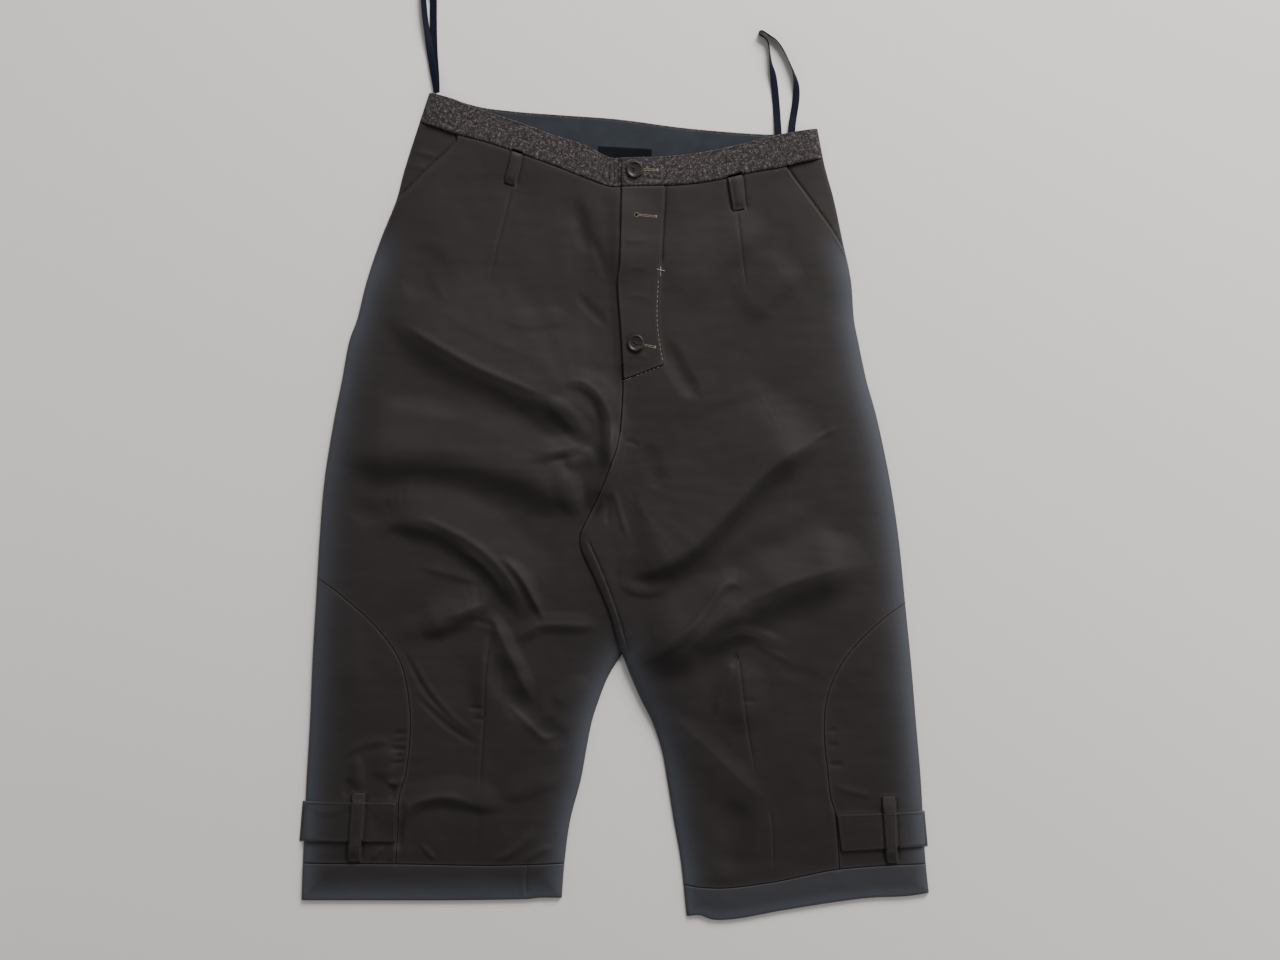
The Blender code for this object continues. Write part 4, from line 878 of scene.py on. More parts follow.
def dress(tree: bpy.types.NodeTree, colour: bpy.types.NodeSocket, relief: bpy.types.Node) -> None:
    """Give a shader its colour and its relief."""
    shader = tree.nodes["Principled BSDF"]
    tree.links.new(colour, shader.inputs["Base Color"])
    tree.links.new(relief.outputs["Normal"], shader.inputs["Normal"])


@dataclass(frozen=True)
class BrushedTwill:
    """Dyed cotton satin-twill, brushed face: matt charcoal, with a cool painted sheen where it turns over
    an edge and a painted highlight with rubbing by seams.  Its twill line, really 0.45 mm, is drawn at 0.9
    mm to show.
    """

    name: str = "cotton satin-twill, brushed"
    ground: str = "2B2624"
    shade: str = "262120"
    wear_and_highlight: str = "3C3734"
    painted_sheen: str = "474A51"
    twill_mm: float = 0.9
    roughness: float = 0.68
    sheen: float = 0.06

    def material(self) -> bpy.types.Material:
        """Build the material."""
        material, tree = new_material(self.name, {
            "Roughness": self.roughness, "IOR": 1.5, "Specular IOR Level": 0.22, "Sheen Weight": self.sheen,
            "Sheen Roughness": 0.5, "Sheen Tint": linear("BDBFC9")})
        weave = add_node(tree, "Attribute", {"attribute_name": "weave"})
        turned = add_node(tree, "Mapping", values={"Rotation": (0.0, 0.0, math.radians(63))},
                          links={"Vector": weave.outputs["Vector"]})
        twill = add_node(tree, "TexWave",
                         {"wave_type": "BANDS", "bands_direction": "X", "wave_profile": "SIN"},
                         {"Scale": WAVE / (self.twill_mm * MM), "Distortion": 1.2, "Detail": 2.0,
                          "Detail Scale": 1.5}, {"Vector": turned.outputs["Vector"]})
        nap = add_node(tree, "TexNoise", None, {"Scale": 900.0, "Detail": 3.0, "Roughness": 0.6},
                       {"Vector": weave.outputs["Vector"]})
        _, tone = mottle(tree, weave.outputs["Vector"], {"Scale": 16.0, "Detail": 4.0, "Roughness": 0.55},
                         ((0.3, self.shade), (0.7, self.ground)))
        # Cool painted sheen read from the edge attribute, and a lighter tone on seam ridges: painted
        # highlight with rubbing.
        edge = add_node(tree, "Attribute", {"attribute_name": "edge"})
        wear_and_highlight = add_node(tree, "Attribute", {"attribute_name": "wear_and_highlight"})
        with_painted_sheen = add_node(tree, "Mix", {"data_type": "RGBA"}, {7: linear(self.painted_sheen)},
                           {0: edge.outputs["Fac"], 6: tone})
        with_wear_and_highlight = add_node(tree, "Mix", {"data_type": "RGBA"}, {7: linear(self.wear_and_highlight)},
                          {0: wear_and_highlight.outputs["Fac"], 6: with_painted_sheen.outputs[2]})
        speck = add_node(tree, "Mix", {"data_type": "RGBA", "blend_type": "SOFT_LIGHT"},
                         {0: 0.35}, {6: with_wear_and_highlight.outputs[2], 7: nap.outputs["Color"]})
        ridge = add_node(tree, "Bump", None, {"Strength": 0.16, "Distance": 0.0002},
                         {"Height": twill.outputs["Fac"]})
        fuzz = add_node(tree, "Bump", None, {"Strength": 0.22, "Distance": 0.0003},
                        {"Height": nap.outputs["Fac"], "Normal": ridge.outputs["Normal"]})
        dress(tree, speck.outputs[2], fuzz)
        return material


@dataclass(frozen=True)
class SlubTweed:
    """Wool tweed in plain weave with thick and thin yarn, each yarn with its own pale and dark lengths.
    Yarns are really 0.8 mm apart and are drawn at 1.2 mm so that they show.
    """

    name: str = "wool tweed, slub yarn"
    yarn_mm: float = 1.2
    slub_mm: float = 3.6

    def material(self) -> bpy.types.Material:
        """Build the material."""
        material, tree = new_material(self.name, {
            "Roughness": 0.88, "Specular IOR Level": 0.15, "Sheen Weight": 0.08, "Sheen Roughness": 0.5})
        weave = add_node(tree, "Attribute", {"attribute_name": "weave"})
        wander = add_node(tree, "TexNoise", None, {"Scale": 160.0, "Detail": 1.0},
                          {"Vector": weave.outputs["Vector"]})
        bent = add_node(tree, "VectorMath", {"operation": "MULTIPLY_ADD"}, {1: (0.0009, 0.0009, 0.0)},
                        {0: wander.outputs["Color"], 2: weave.outputs["Vector"]})
        pitch, fine = self.yarn_mm * MM, 0.1 * MM
        slub, apart = 1 / (self.slub_mm * MM), 0.43 / pitch
        tones, ribs = [], []
        for snap, scale, direction in (((fine, pitch, 1.0), (slub, apart, 0.0), "Y"),
                                       ((pitch, fine, 1.0), (apart, slub, 0.0), "X")):
            yarn = add_node(tree, "VectorMath", {"operation": "SNAP"}, {1: snap},
                            {0: bent.outputs["Vector"]})
            drawn = add_node(tree, "VectorMath", {"operation": "MULTIPLY"}, {1: scale},
                             {0: yarn.outputs["Vector"]})
            tones.append(add_node(tree, "TexNoise", None,
                                  {"Scale": 1.0, "Detail": 1.5, "Roughness": 0.7},
                                  {"Vector": drawn.outputs["Vector"]}))
            ribs.append(add_node(tree, "TexWave", {"wave_type": "BANDS", "bands_direction": direction},
                                 {"Scale": WAVE / self.yarn_mm / MM}, {"Vector": bent.outputs["Vector"]}))
        pick = add_node(tree, "TexChecker", None, {"Scale": 1 / pitch},
                        {"Vector": bent.outputs["Vector"]})
        tone, rib = (add_node(tree, "Mix", {"data_type": "FLOAT"}, None, {
            0: pick.outputs["Fac"], 2: pair[0].outputs["Fac"], 3: pair[1].outputs["Fac"]})
            for pair in (tones, ribs))
        yarn = set_stops(add_node(tree, "ValToRGB", links={"Fac": tone.outputs[0]}),
                         ((0.30, "1E1B1B"), (0.45, "2F2A2A"), (0.56, "413B3B"), (0.70, "6B6462")))
        # Painted sheen: where the cloth turns over an edge, the tweed is tinted cooler and darker.
        edge = add_node(tree, "Attribute", {"attribute_name": "edge"})
        cloth = add_node(tree, "Mix", {"data_type": "RGBA", "blend_type": "MULTIPLY"},
                         {7: (0.72, 0.78, 0.95, 1.0)}, {0: edge.outputs["Fac"], 6: yarn.outputs["Color"]})
        slubs = add_node(tree, "Bump", None, {"Strength": 0.5, "Distance": 0.0005},
                         {"Height": tone.outputs[0]})
        yarns = add_node(tree, "Bump", None, {"Strength": 0.5, "Distance": 0.0004},
                         {"Height": rib.outputs[0], "Normal": slubs.outputs["Normal"]})
        dress(tree, cloth.outputs[2], yarns)
        return material


@dataclass(frozen=True)
class PlainCloth:
    """A fine plain-weave cloth, such as the cotton facing or the satin of the label: an even matt colour
    with a small cross weave, drawn at 0.7 mm so that it shows.
    """

    name: str
    ground: str
    shade: str
    roughness: float = 0.75
    thread_mm: float = 0.7
    sheen: float = 0.08
    specular: float = 0.2

    def material(self) -> bpy.types.Material:
        """Build the material."""
        material, tree = new_material(self.name, {
            "Roughness": self.roughness, "Specular IOR Level": self.specular, "Sheen Weight": self.sheen})
        weave = add_node(tree, "Attribute", {"attribute_name": "weave"})
        _, tone = mottle(tree, weave.outputs["Vector"], {"Scale": 60.0, "Detail": 4.0},
                         ((0.35, self.shade), (0.65, self.ground)))
        normal = None
        for direction in ("X", "Y"):
            threads = add_node(tree, "TexWave",
                               {"wave_type": "BANDS", "bands_direction": direction},
                               {"Scale": WAVE / (self.thread_mm * MM), "Distortion": 0.6},
                               {"Vector": weave.outputs["Vector"]})
            links = {"Height": threads.outputs["Fac"]}
            if normal:
                links["Normal"] = normal.outputs["Normal"]
            normal = add_node(tree, "Bump", None, {"Strength": 0.2, "Distance": 0.0002}, links)
        dress(tree, tone, normal)
        return material


@dataclass(frozen=True)
class PolishedHorn:
    """Turned buffalo horn: dark brown-grey with faint streaks, polished."""

    name: str = "buffalo horn, polished"

    def material(self) -> bpy.types.Material:
        """Build the material."""
        material, tree = new_material(self.name, {
            "Roughness": 0.46, "IOR": 1.55, "Specular IOR Level": 0.35})
        where = add_node(tree, "TexCoord")
        streaks = add_node(tree, "Mapping", None,
                           {"Scale": (120.0, 420.0, 120.0), "Rotation": (0.0, 0.0, 0.6)},
                           {"Vector": where.outputs["Object"]})
        grain, tone = mottle(tree, streaks.outputs["Vector"],
                             {"Scale": 1.0, "Detail": 4.0, "Distortion": 0.8},
                             ((0.35, "1F1817"), (0.55, "2E2624"), (0.75, "453A36")))
        scratch = add_node(tree, "Bump", None, {"Strength": 0.08, "Distance": 0.0001},
                           {"Height": grain.outputs["Fac"]})
        dress(tree, tone, scratch)
        return material


@dataclass(frozen=True)
class SatinRibbon:
    """Woven satin ribbon: long floats catch the light in bands along it, navy-black."""

    name: str = "polyester satin ribbon"

    def material(self) -> bpy.types.Material:
        """Build the material."""
        material, tree = new_material(self.name, {"Roughness": 0.6, "Specular IOR Level": 0.12})
        where = add_node(tree, "TexCoord")
        floats, tone = mottle(tree, where.outputs["Object"], {"Scale": 700.0, "Detail": 2.0},
                              ((0.3, "0B0D18"), (0.7, "131729")))
        ribs = add_node(tree, "Bump", None, {"Strength": 0.25, "Distance": 0.0002},
                        {"Height": floats.outputs["Fac"]})
        dress(tree, tone, ribs)
        return material


@dataclass(frozen=True)
class Thread:
    """Spun polyester sewing thread: two plies twisted, matt with a slight glint along each turn."""

    name: str
    ground: str
    shade: str

    def material(self) -> bpy.types.Material:
        """Build the material."""
        material, tree = new_material(self.name, {"Roughness": 0.7})
        where = add_node(tree, "TexCoord")
        fibres, tone = mottle(tree, where.outputs["Object"], {"Scale": 2500.0, "Detail": 2.0},
                              ((0.35, self.shade), (0.65, self.ground)))
        twist = add_node(tree, "Bump", None, {"Strength": 0.3, "Distance": 0.0001},
                         {"Height": fibres.outputs["Fac"]})
        dress(tree, tone, twist)
        return material


@dataclass(frozen=True)
class Finish:
    """A material and the record's slot that it belongs to."""

    material: bpy.types.Material
    slot: str


class Finishes:
    """The finishes of the trousers, each made once."""

    def __init__(self) -> None:
        """Build every material."""
        facing = PlainCloth("cotton poplin facing, slate", "2D3136", "272B30")
        label = PlainCloth("woven satin label, black", "131418", "0D0D11", 0.8, 0.5, 0.0, 0.1)
        hole = PlainCloth("shadowed cloth in the buttonhole", "0B0A0A", "070707", sheen=0.0)
        dark, pale, tan = (Thread(*tones) for tones in (
            ("sewing thread, charcoal", "231F1E", "171514"),
            ("sewing thread, pale grey", "B5B1AC", "8A8683"),
            ("buttonhole thread, ecru", "A39783", "746A58")))
        self.body = Finish(BrushedTwill().material(), "body_cloth")
        self.tweed = Finish(SlubTweed().material(), "tweed")
        self.facing = Finish(facing.material(), "facing_cloth")
        self.label = Finish(label.material(), "label_cloth")
        self.horn = Finish(PolishedHorn().material(), "horn_button")
        self.ribbon = Finish(SatinRibbon().material(), "ribbon")
        self.dark_thread = Finish(dark.material(), "body_cloth")
        self.pale_thread = Finish(pale.material(), "body_cloth")
        self.tan_thread = Finish(tan.material(), "body_cloth")
        self.hole = Finish(hole.material(), "body_cloth")


def finish_object(name: str, vertices: Points, faces: Points | list, finish: Finish,
                  sharp: float = 180.0) -> bpy.types.Object:
    """Make a mesh object from millimetres and let it ride on the trousers.

    Args:
        name: The piece's name.
        vertices: (n, 3) points in millimetres of the object's frame.
        faces: Its faces.
        finish: Its finish.
        sharp: Edges that turn by more than this many degrees stay sharp.

    Returns:
        The piece.
    """
    mesh = bpy.data.meshes.new(name)
    points = np.asarray(vertices, dtype=float) * MM
    mesh.from_pydata(points.tolist(), [], faces.tolist() if isinstance(faces, np.ndarray) else faces)
    mesh.update()
    mesh.shade_smooth()
    if sharp < 180.0:
        mesh.set_sharp_from_angle(angle=math.radians(sharp))
    mesh.materials.append(finish.material)
    piece = bpy.data.objects.new(name, mesh)
    bpy.context.scene.collection.objects.link(piece)
    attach(piece, BODY)
    LOG.info("%s: %d triangles", name, sum(len(p.vertices) - 2 for p in mesh.polygons))
    return piece


def give_weave(piece: bpy.types.Object, coordinates: Points, edge: Points, wear_and_highlight: Points) -> None:
    """Store what the cloth materials read at each point.

    Args:
        piece: The cloth.
        coordinates: (n, 2) millimetres along and across its grain.
        edge: 0 to 1, how much cool painted sheen the cloth takes where it turns over an outer edge.
        wear_and_highlight: 0 to 1, how much lighter it is: painted highlight with rubbing beside seams.
    """
    vectors = np.column_stack([coordinates * MM, np.zeros(len(coordinates))]).astype(np.float32)
    weave = piece.data.attributes.new("weave", "FLOAT_VECTOR", "POINT")
    weave.data.foreach_set("vector", vectors.ravel())
    for name, values in (("edge", edge), ("wear_and_highlight", wear_and_highlight)):
        attribute = piece.data.attributes.new(name, "FLOAT", "POINT")
        attribute.data.foreach_set("value", np.asarray(values, dtype=np.float32))


@dataclass(frozen=True)
class SheetCut:
    """How a piece was cut from flat cloth, in metres and square metres, and the nodes that it lies on."""

    width: float
    length: float
    area: float
    on: tuple[str, ...]


def sew(node: str, shell: tuple[Points, Points, Points], finish: Finish, weave: Points,
        edge: Points, wear_and_highlight: Points) -> None:
    """Make the cloth piece that stands for a node.

    Args:
        node: The node's name.
        shell: Vertices, faces and used points, from Cut.close.
        finish: Its finish.
        weave: (n, 2) grain coordinates at each point of the cut.
        edge: 0 to 1 at each point, how much cool painted sheen the cloth takes where it turns over an outer
            edge.
        wear_and_highlight: 0 to 1 at each point, how much lighter it is: painted highlight with rubbing
            beside seams.
    """
    vertices, faces, used = shell
    piece = finish_object("cloth_" + node, vertices, faces, finish, 60.0)
    give_weave(piece, np.vstack([weave[used]] * 2), np.tile(edge[used], 2), np.tile(wear_and_highlight[used], 2))
    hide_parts(node)


@dataclass(frozen=True)
class Arch:
    """How a strap stands off what carries it, between its two sewn ends."""

    lift: float                 # its middle over its ends
    crown: float                # its middle line over its long edges
    ends: float = 0.2           # share of its length over which it rises
    groove: float = 0.0         # place of a crease along it, as a share of its width, or 0
    depth: float = 0.8          # of that crease


@dataclass(frozen=True)
class Ply:
    """One sewn piece of the front: its cells, wall and flat cut, and the pieces that it lies on."""

    name: str
    cells: tuple[str, ...]
    wall: float
    cut: SheetCut
    on: tuple[str, ...] = ()
    grain: float = 0.0
    rim: float = 1.0
    arch: Arch | None = None


class LaidFront:
    """The shared front surface: its cut into cells, its height and the plies made from it."""

    def __init__(self) -> None:
        """Cut the surface and work out its height."""
        self.coarse = leg_lines(13.0)
        self.fine = leg_lines(LINE_STEP)
        self.cut = Cut(list(self.fine.values()), self.mesh_places(), CELLS)
        self.table = self.cut.table_points()
        self.depth = self.outline_depth(self.table)
        seen = dense(line for name, line in self.fine.items() if "under" not in name)
        self.seam_depth = distance_to(self.table, seen, SEAM_REACH)
        self.wrap_depth = distance_to(self.table, dense(self.fine[name] for name in WRAPPED), WRAP_REACH)
        self.base = self.height(self.table)
        self.tops: dict[str, Points] = {}
        LOG.info("front surface: %d points", len(self.table))

    def mesh_places(self) -> Points:
        """Rows of points beside every line and dart, and an even lattice between them."""
        spots = dense(self.fine.values())
        rows = rows_beside(list(self.fine.values()), ROWS, spots)
        darts = [spline(dart.line, 2.0) for dart in DARTS]
        for line in darts:
            for offset in DART_ROWS:
                row = beside(line, offset)
                rows.append(row[distance_to(row, spots, SEAM_REACH) > 1.2])
        lattice = lattice_points((296.0, 85.0), (934.0, 925.0), CLOTH_STEP)
        lattice = lattice[distance_to(lattice, spots, SEAM_REACH) > ROWS[-1] + 0.55 * CLOTH_STEP]
        rows.append(lattice[distance_to(lattice, dense(darts), SEAM_REACH) > 2.4])
        return np.vstack(rows)

    def near(self, points: Points, name: str) -> Points:
        """Distance of the points from a named curve."""
        return nearest(points, self.coarse[name], CURVE_REACH)[0]

    def outline_depth(self, points: Points) -> Points:
        """How far in each point lies from the edge of the front surface, negative outside it."""
        names = (*WRAPPED, "hem_right", "hem_left", "waist_right", "waist_left")
        dist = np.min([self.near(points, name) for name in names], axis=0)
        right = nearest(points, self.fine["side_right"], 6.0)
        left = nearest(points, self.fine["side_left"], 6.0)
        outside = ((right[1] > 0) & (right[0] < 5)) | ((left[1] < 0) & (left[0] < 5))
        return np.where(outside, -np.minimum(right[0], left[0]), dist)

    def height(self, points: Points) -> Points:
        """Underside of the front surface over the table, in millimetres, with every fold."""
        inside = np.maximum(self.depth, 0.0)
        puff = np.interp(points[:, 1], *zip(*PUFF))
        height = EDGE_Z + puff * (1.0 - np.exp(-inside / EDGE_ROLL))
        folds = sum(fold.rise(points) for fold in FOLDS) + self.ripple(points)
        height = height + folds * (1.0 - np.exp(-inside / FOLD_START))
        height = height + sum(dart.rise(points) for dart in DARTS)
        return np.where(self.depth < 0, EDGE_Z + SLOPE_OUT * self.depth, np.maximum(height, EDGE_Z))

    @staticmethod
    def ripple(points: Points) -> Points:
        """The unevenness of well-used cloth: swells, small dents, and faint pulls that fan out of the
        crotch.
        """
        rows = []
        reach, start = 110.0, 70.0      # length of the pulls, and how far from the crotch they begin
        for x, y in points:
            angle, far = math.atan2(y - CROTCH_PULL[1], x - CROTCH_PULL[0]), math.dist((x, y), CROTCH_PULL)
            pulls = noise.noise(Vector((8.0 * angle, far / reach, 5.0)))
            rows.append(0.6 * noise.noise(Vector((x / 46.0, y / 62.0, 3.0)))
                        + 0.24 * noise.noise(Vector((x / 15.0, y / 17.0, 9.0)))
                        + 0.55 * (1.0 - math.exp(-far / start)) * pulls
                        + 0.16 * noise.noise(Vector((x / 38.0, y / 8.0, 2.0))))
        return np.array(rows)

    def band_level(self) -> Points:
        """The band stands over the facing, but comes down to the back band at the two sides."""
        side = np.minimum(self.near(self.table, "side_right"), self.near(self.table, "side_left"))
        return BAND_LIFT * smooth_step(side / BAND_RISE)

    def closing_level(self) -> Points:
        """The left front lies over the right front along the fly, the centre seam and the crotch."""
        dist = np.min([self.near(self.table, name) for name in ("fly", "centre_seam", "crotch_edge")],
                      axis=0)
        roll = self.near(self.table, "crotch_edge")
        return (CLOSING_LIFT * smooth_step((CLOSING_FROM - dist) / CLOSING_RISE)
                + CROTCH_ROLL * (1.0 - np.exp(-roll / ROLL_RISE)) * np.exp(-roll / ROLL_FADE))

    def front_level(self, side: str) -> Points:
        """A front lies over its pocket facing and rises towards the band."""
        pocket, band = self.near(self.table, "pocket_" + side), self.near(self.table, "band_seam_" + side)
        return np.maximum(POCKET_LIFT * smooth_step((POCKET_FROM - pocket) / POCKET_RISE),
                          SEAM_LIFT * smooth_step((SEAM_RISE - band) / SEAM_RISE))

    def over(self, ply: Ply, level: Points | float) -> Points:
        """Height of a ply's underside: over the shared surface, and over everything that it lies on."""
        bottom = self.base + level
        for k, carrier in enumerate(ply.on):
            top = np.nan_to_num(self.tops[carrier] + GAP, nan=-99.0)
            if ply.arch and k == 0:
                top = top + self.arched(ply)[0]
            bottom = np.maximum(bottom, top)
        return bottom

    def arched(self, ply: Ply) -> tuple[Points, Points]:
        """How far a strap's ends-to-middle lift and its crown and crease raise each point."""
        a, b, _, d = (np.array(corner, dtype=float) for corner in PATCHES[ply.name])
        share = (self.table - a) @ np.linalg.inv(np.array([b - a, d - a]))
        across, down = np.clip(share[:, 0], 0.0, 1.0), np.clip(share[:, 1], 0.0, 1.0)
        bridge = smooth_step(down / ply.arch.ends) * smooth_step((1.0 - down) / ply.arch.ends)
        crown = ply.arch.crown * bridge * (1.0 - (2.0 * across - 1.0) ** 2)
        crease = -ply.arch.depth * np.exp(-((across - ply.arch.groove) / 0.1) ** 2)
        return ply.arch.lift * bridge + crown, crease if ply.arch.groove else np.zeros(len(across))

    def build(self, ply: Ply, level: Points | float, finish: Finish, weave: Points | None = None) -> None:
        """Close a ply's cells into a thin shell with rounded rims, which stands for the node of its name.

        Args:
            ply: The piece.
            level: How much higher than the shared surface its underside lies, at each point.
            finish: Its finish.
            weave: (n, 2) grain coordinates at each point, or None for the plan turned by its grain.
        """
        faces = self.cut.faces_of(*ply.cells)
        used = np.unique(faces)
        bottom = self.over(ply, level)
        border = border_of(faces)
        ends = self.table[border]
        wrap, free = self.wrap_depth, self.wrap_depth[border].max(1) >= 0.05
        if ply.name.startswith("ankle_tab"):
            free = (self.depth[border] >= -0.8).any(1)
            wrap = distance_to(self.table, dense(ends[~free], 0.5), WRAP_REACH)
            bottom = bottom + TAB_LIFT * smooth_step(wrap / TAB_RISE)
            bottom = np.where(self.depth < 0, np.maximum(GAP, bottom), bottom)
        top = bottom + ply.wall + (self.arched(ply)[1] if ply.arch else 0.0)
        rim_depth = rim_distance(self.table, used, ends[free])
        top = top - RIM_DROP * ply.wall * (1.0 - round_over(rim_depth, ply.rim))
        top = WRAP_TOP + (top - WRAP_TOP) * round_over(wrap, WRAP_ROUND)
        turned = WRAP_FOOT + (bottom - WRAP_FOOT) * wrap / WRAP_UNDER
        bottom = np.minimum(bottom, np.where(wrap < WRAP_UNDER, turned, bottom))
        bottom = np.minimum(bottom, top - THINNEST)
        self.tops[ply.name] = np.full(len(self.table), np.nan)
        self.tops[ply.name][used] = top[used]
        if weave is None:
            angle = math.radians(ply.grain)
            turn = np.array([[math.cos(angle), -math.sin(angle)], [math.sin(angle), math.cos(angle)]])
            weave = self.cut.points @ turn.T
        # Cool painted sheen: the colour turns lighter and bluer within about 15 mm of the outline, below
        # the pockets.
        edge = (np.exp(-(np.maximum(self.depth, 0.0) / PAINTED_SHEEN_WIDTH) ** 1.5)
                * smooth_step((self.table[:, 1] - PAINTED_SHEEN_FROM) / PAINTED_SHEEN_RISE))
        # The hem bands take painted sheen all over, more on the left leg's band.
        hem_sheen_paint = HEM_PAINTED_SHEEN + HEM_PAINTED_SHEEN_MORE * smooth_step((self.table[:, 0] - HEM_FROM) / HEM_RISE)
        edge = np.maximum(edge, hem_sheen_paint) if ply.name.startswith("hem") else edge
        # A lighter line 1.4 mm beside each seam: painted highlight on the seam's ridge, with rubbing.
        wear_and_highlight = SEAM_WEAR_AND_HIGHLIGHT * np.exp(-((self.seam_depth - SEAM_WEAR_AND_HIGHLIGHT_AT) / SEAM_WEAR_AND_HIGHLIGHT_WIDTH) ** 2)
        sew(ply.name, self.cut.close(faces, bottom, top), finish, weave, edge, wear_and_highlight)


def band_weave(front: LaidFront, side: str) -> Points:
    """Grain coordinates that follow a half of the waistband.

    Args:
        front: The shared surface.
        side: "right" or "left".

    Returns:
        Millimetres along the band's seam and away from it, at each point.
    """
    line = front.fine["band_seam_" + side]
    dist, way, along = nearest(front.table, line, 60.0)
    return np.column_stack([along * run_along(line)[-1], np.where(dist < 1e5, -way * dist, 0.0)])


@dataclass
class Pockets:
    """The two pocket facings, which show between the slanted pocket edge and the side."""

    cut: SheetCut = SheetCut(0.070, 0.150, 0.0038, ("back_panel_right", "back_panel_left"))

    def build(self, front: LaidFront, finishes: Finishes) -> None:
        """Build both facings."""
        for side, letter in (("right", "r"), ("left", "l")):
            ply = Ply("pocket_facing_" + side, ("facing_" + letter, "under_" + letter), PLY, self.cut)
            front.build(ply, 0.0, finishes.body)


@dataclass
class Legs:
    """The two fronts and the curved side panels of the lower legs."""

    grain: float = 4.0
    front_right: SheetCut = SheetCut(0.320, 0.730, 0.178, ("back_panel_right", "pocket_facing_right"))
    front_left: SheetCut = SheetCut(0.320, 0.730, 0.167, ("front_panel_right", "pocket_facing_left"))
    side_right: SheetCut = SheetCut(0.115, 0.290, 0.0252, ("back_panel_right",))
    side_left: SheetCut = SheetCut(0.115, 0.270, 0.022, ("back_panel_left",))

    def build(self, front: LaidFront, finishes: Finishes) -> None:
        """Build the right front and both side panels, which lie lowest, and the left front over them."""
        right = Ply("front_panel_right", ("front_r", "under_r", "loop_r", "fly_under", "crotch_under"), PLY,
                    self.front_right, grain=self.grain)
        front.build(right, front.front_level("right"), finishes.body)
        for side, letter, cut in (("right", "r", self.side_right), ("left", "l", self.side_left)):
            more = ("tab_r_in", "calf_r_foot", "calf_r_foot_in") if side == "right" else ("tab_l_out",)
            names = ("calf_{}", "tab_{}", "tab_{}_mid", "loop_{}_top", "loop_{}_foot", *more)
            ply = Ply("side_panel_" + side, tuple(name.format(letter) for name in names), PLY, cut,
                      grain=self.grain)
            front.build(ply, 0.0, finishes.body)
        left = Ply("front_panel_left", ("front_l", "under_l", "loop_l", "fly_under", "placket",
                                        "placket_foot", "crotch_under"), PLY, self.front_left,
                   ("front_panel_right",), -self.grain)
        front.build(left, front.front_level("left") + front.closing_level(), finishes.body)


@dataclass
class Hems:
    """The turned hem bands of the two legs."""

    right: SheetCut = SheetCut(0.268, 0.037, 0.0096, ("hem_band_back_right",))
    left: SheetCut = SheetCut(0.260, 0.040, 0.0083, ("hem_band_back_left",))

    def build(self, front: LaidFront, finishes: Finishes) -> None:
        """Build the front halves."""
        for side, cut in (("right", self.right), ("left", self.left)):
            ply = Ply("hem_band_front_" + side, ("hem_" + side[0],), BAND_PLY, cut, rim=1.3)
            front.build(ply, 0.0, finishes.body)


@dataclass
class Waistband:
    """The tweed band in two halves, the left one lapped over the right one."""

    right: SheetCut = SheetCut(0.240, 0.040, 0.0072, ("waistband_back", "waistband_facing"))
    left: SheetCut = SheetCut(0.215, 0.040, 0.0065, ("waistband_front_right", "waistband_back"))

    def build(self, front: LaidFront, finishes: Finishes) -> None:
        """Build both halves."""
        right = Ply("waistband_front_right", ("band_r", "band_l_under"), BAND_PLY, self.right, rim=1.4)
        front.build(right, front.band_level(), finishes.tweed, band_weave(front, "right"))
        left = Ply("waistband_front_left", ("band_l", "band_l_under", "band_l_right_of"), BAND_PLY,
                   self.left, ("waistband_front_right",), rim=1.4)
        level = front.band_level() + front.closing_level() + BAND_PLY - PLY
        front.build(left, level, finishes.tweed, band_weave(front, "left"))


@dataclass
class Straps:
    """Fly placket, belt loops, ankle tabs and their loops, which lie on the panels."""

    placket: SheetCut = SheetCut(0.047, 0.195, 0.0081, ("front_panel_left",))
    belt_loop: tuple[float, float, float] = (0.0145, 0.039, 0.00047)     # width, length, area
    ankle_tab: tuple[float, float, float] = (0.042, 0.096, 0.0038)
    tab_loop: tuple[float, float, float] = (0.0150, 0.072, 0.00098)

    def build(self, front: LaidFront, finishes: Finishes) -> None:
        """Build them from the lowest up."""
        front.build(Ply("fly_placket", ("fly_under", "placket", "placket_foot"), PLY, self.placket,
                        ("front_panel_left",)), 0.0, finishes.body)
        for side, letter, outer, belt, grain in (
                ("right", "r", "tab_r_in", Arch(1.0, 0.9, groove=0.74), 14.0),
                ("left", "l", "tab_l_out", Arch(1.2, 1.0, groove=0.2), -6.0)):
            panel, tab = "side_panel_" + side, "ankle_tab_" + side
            plies = (
                Ply("belt_loop_" + side, ("loop_" + letter,), PLY,
                    SheetCut(*self.belt_loop, ("front_panel_" + side,)), ("front_panel_" + side,), grain,
                    arch=belt),
                Ply(tab, (f"tab_{letter}_rim", "tab_" + letter, f"tab_{letter}_mid", outer), TAB_PLY,
                    SheetCut(*self.ankle_tab, (panel,)), (panel,), 90.0, 0.8),
                Ply("tab_loop_" + side, tuple(cell.format(letter) for cell in
                                              ("loop_{}_top", "tab_{}_mid", "loop_{}_foot")), PLY,
                    SheetCut(*self.tab_loop, (panel, tab)), (panel, tab), 0.5 * grain,
                    arch=Arch(2.0, 0.4)),
            )
            for ply in plies:
                front.build(ply, 0.0, finishes.body)


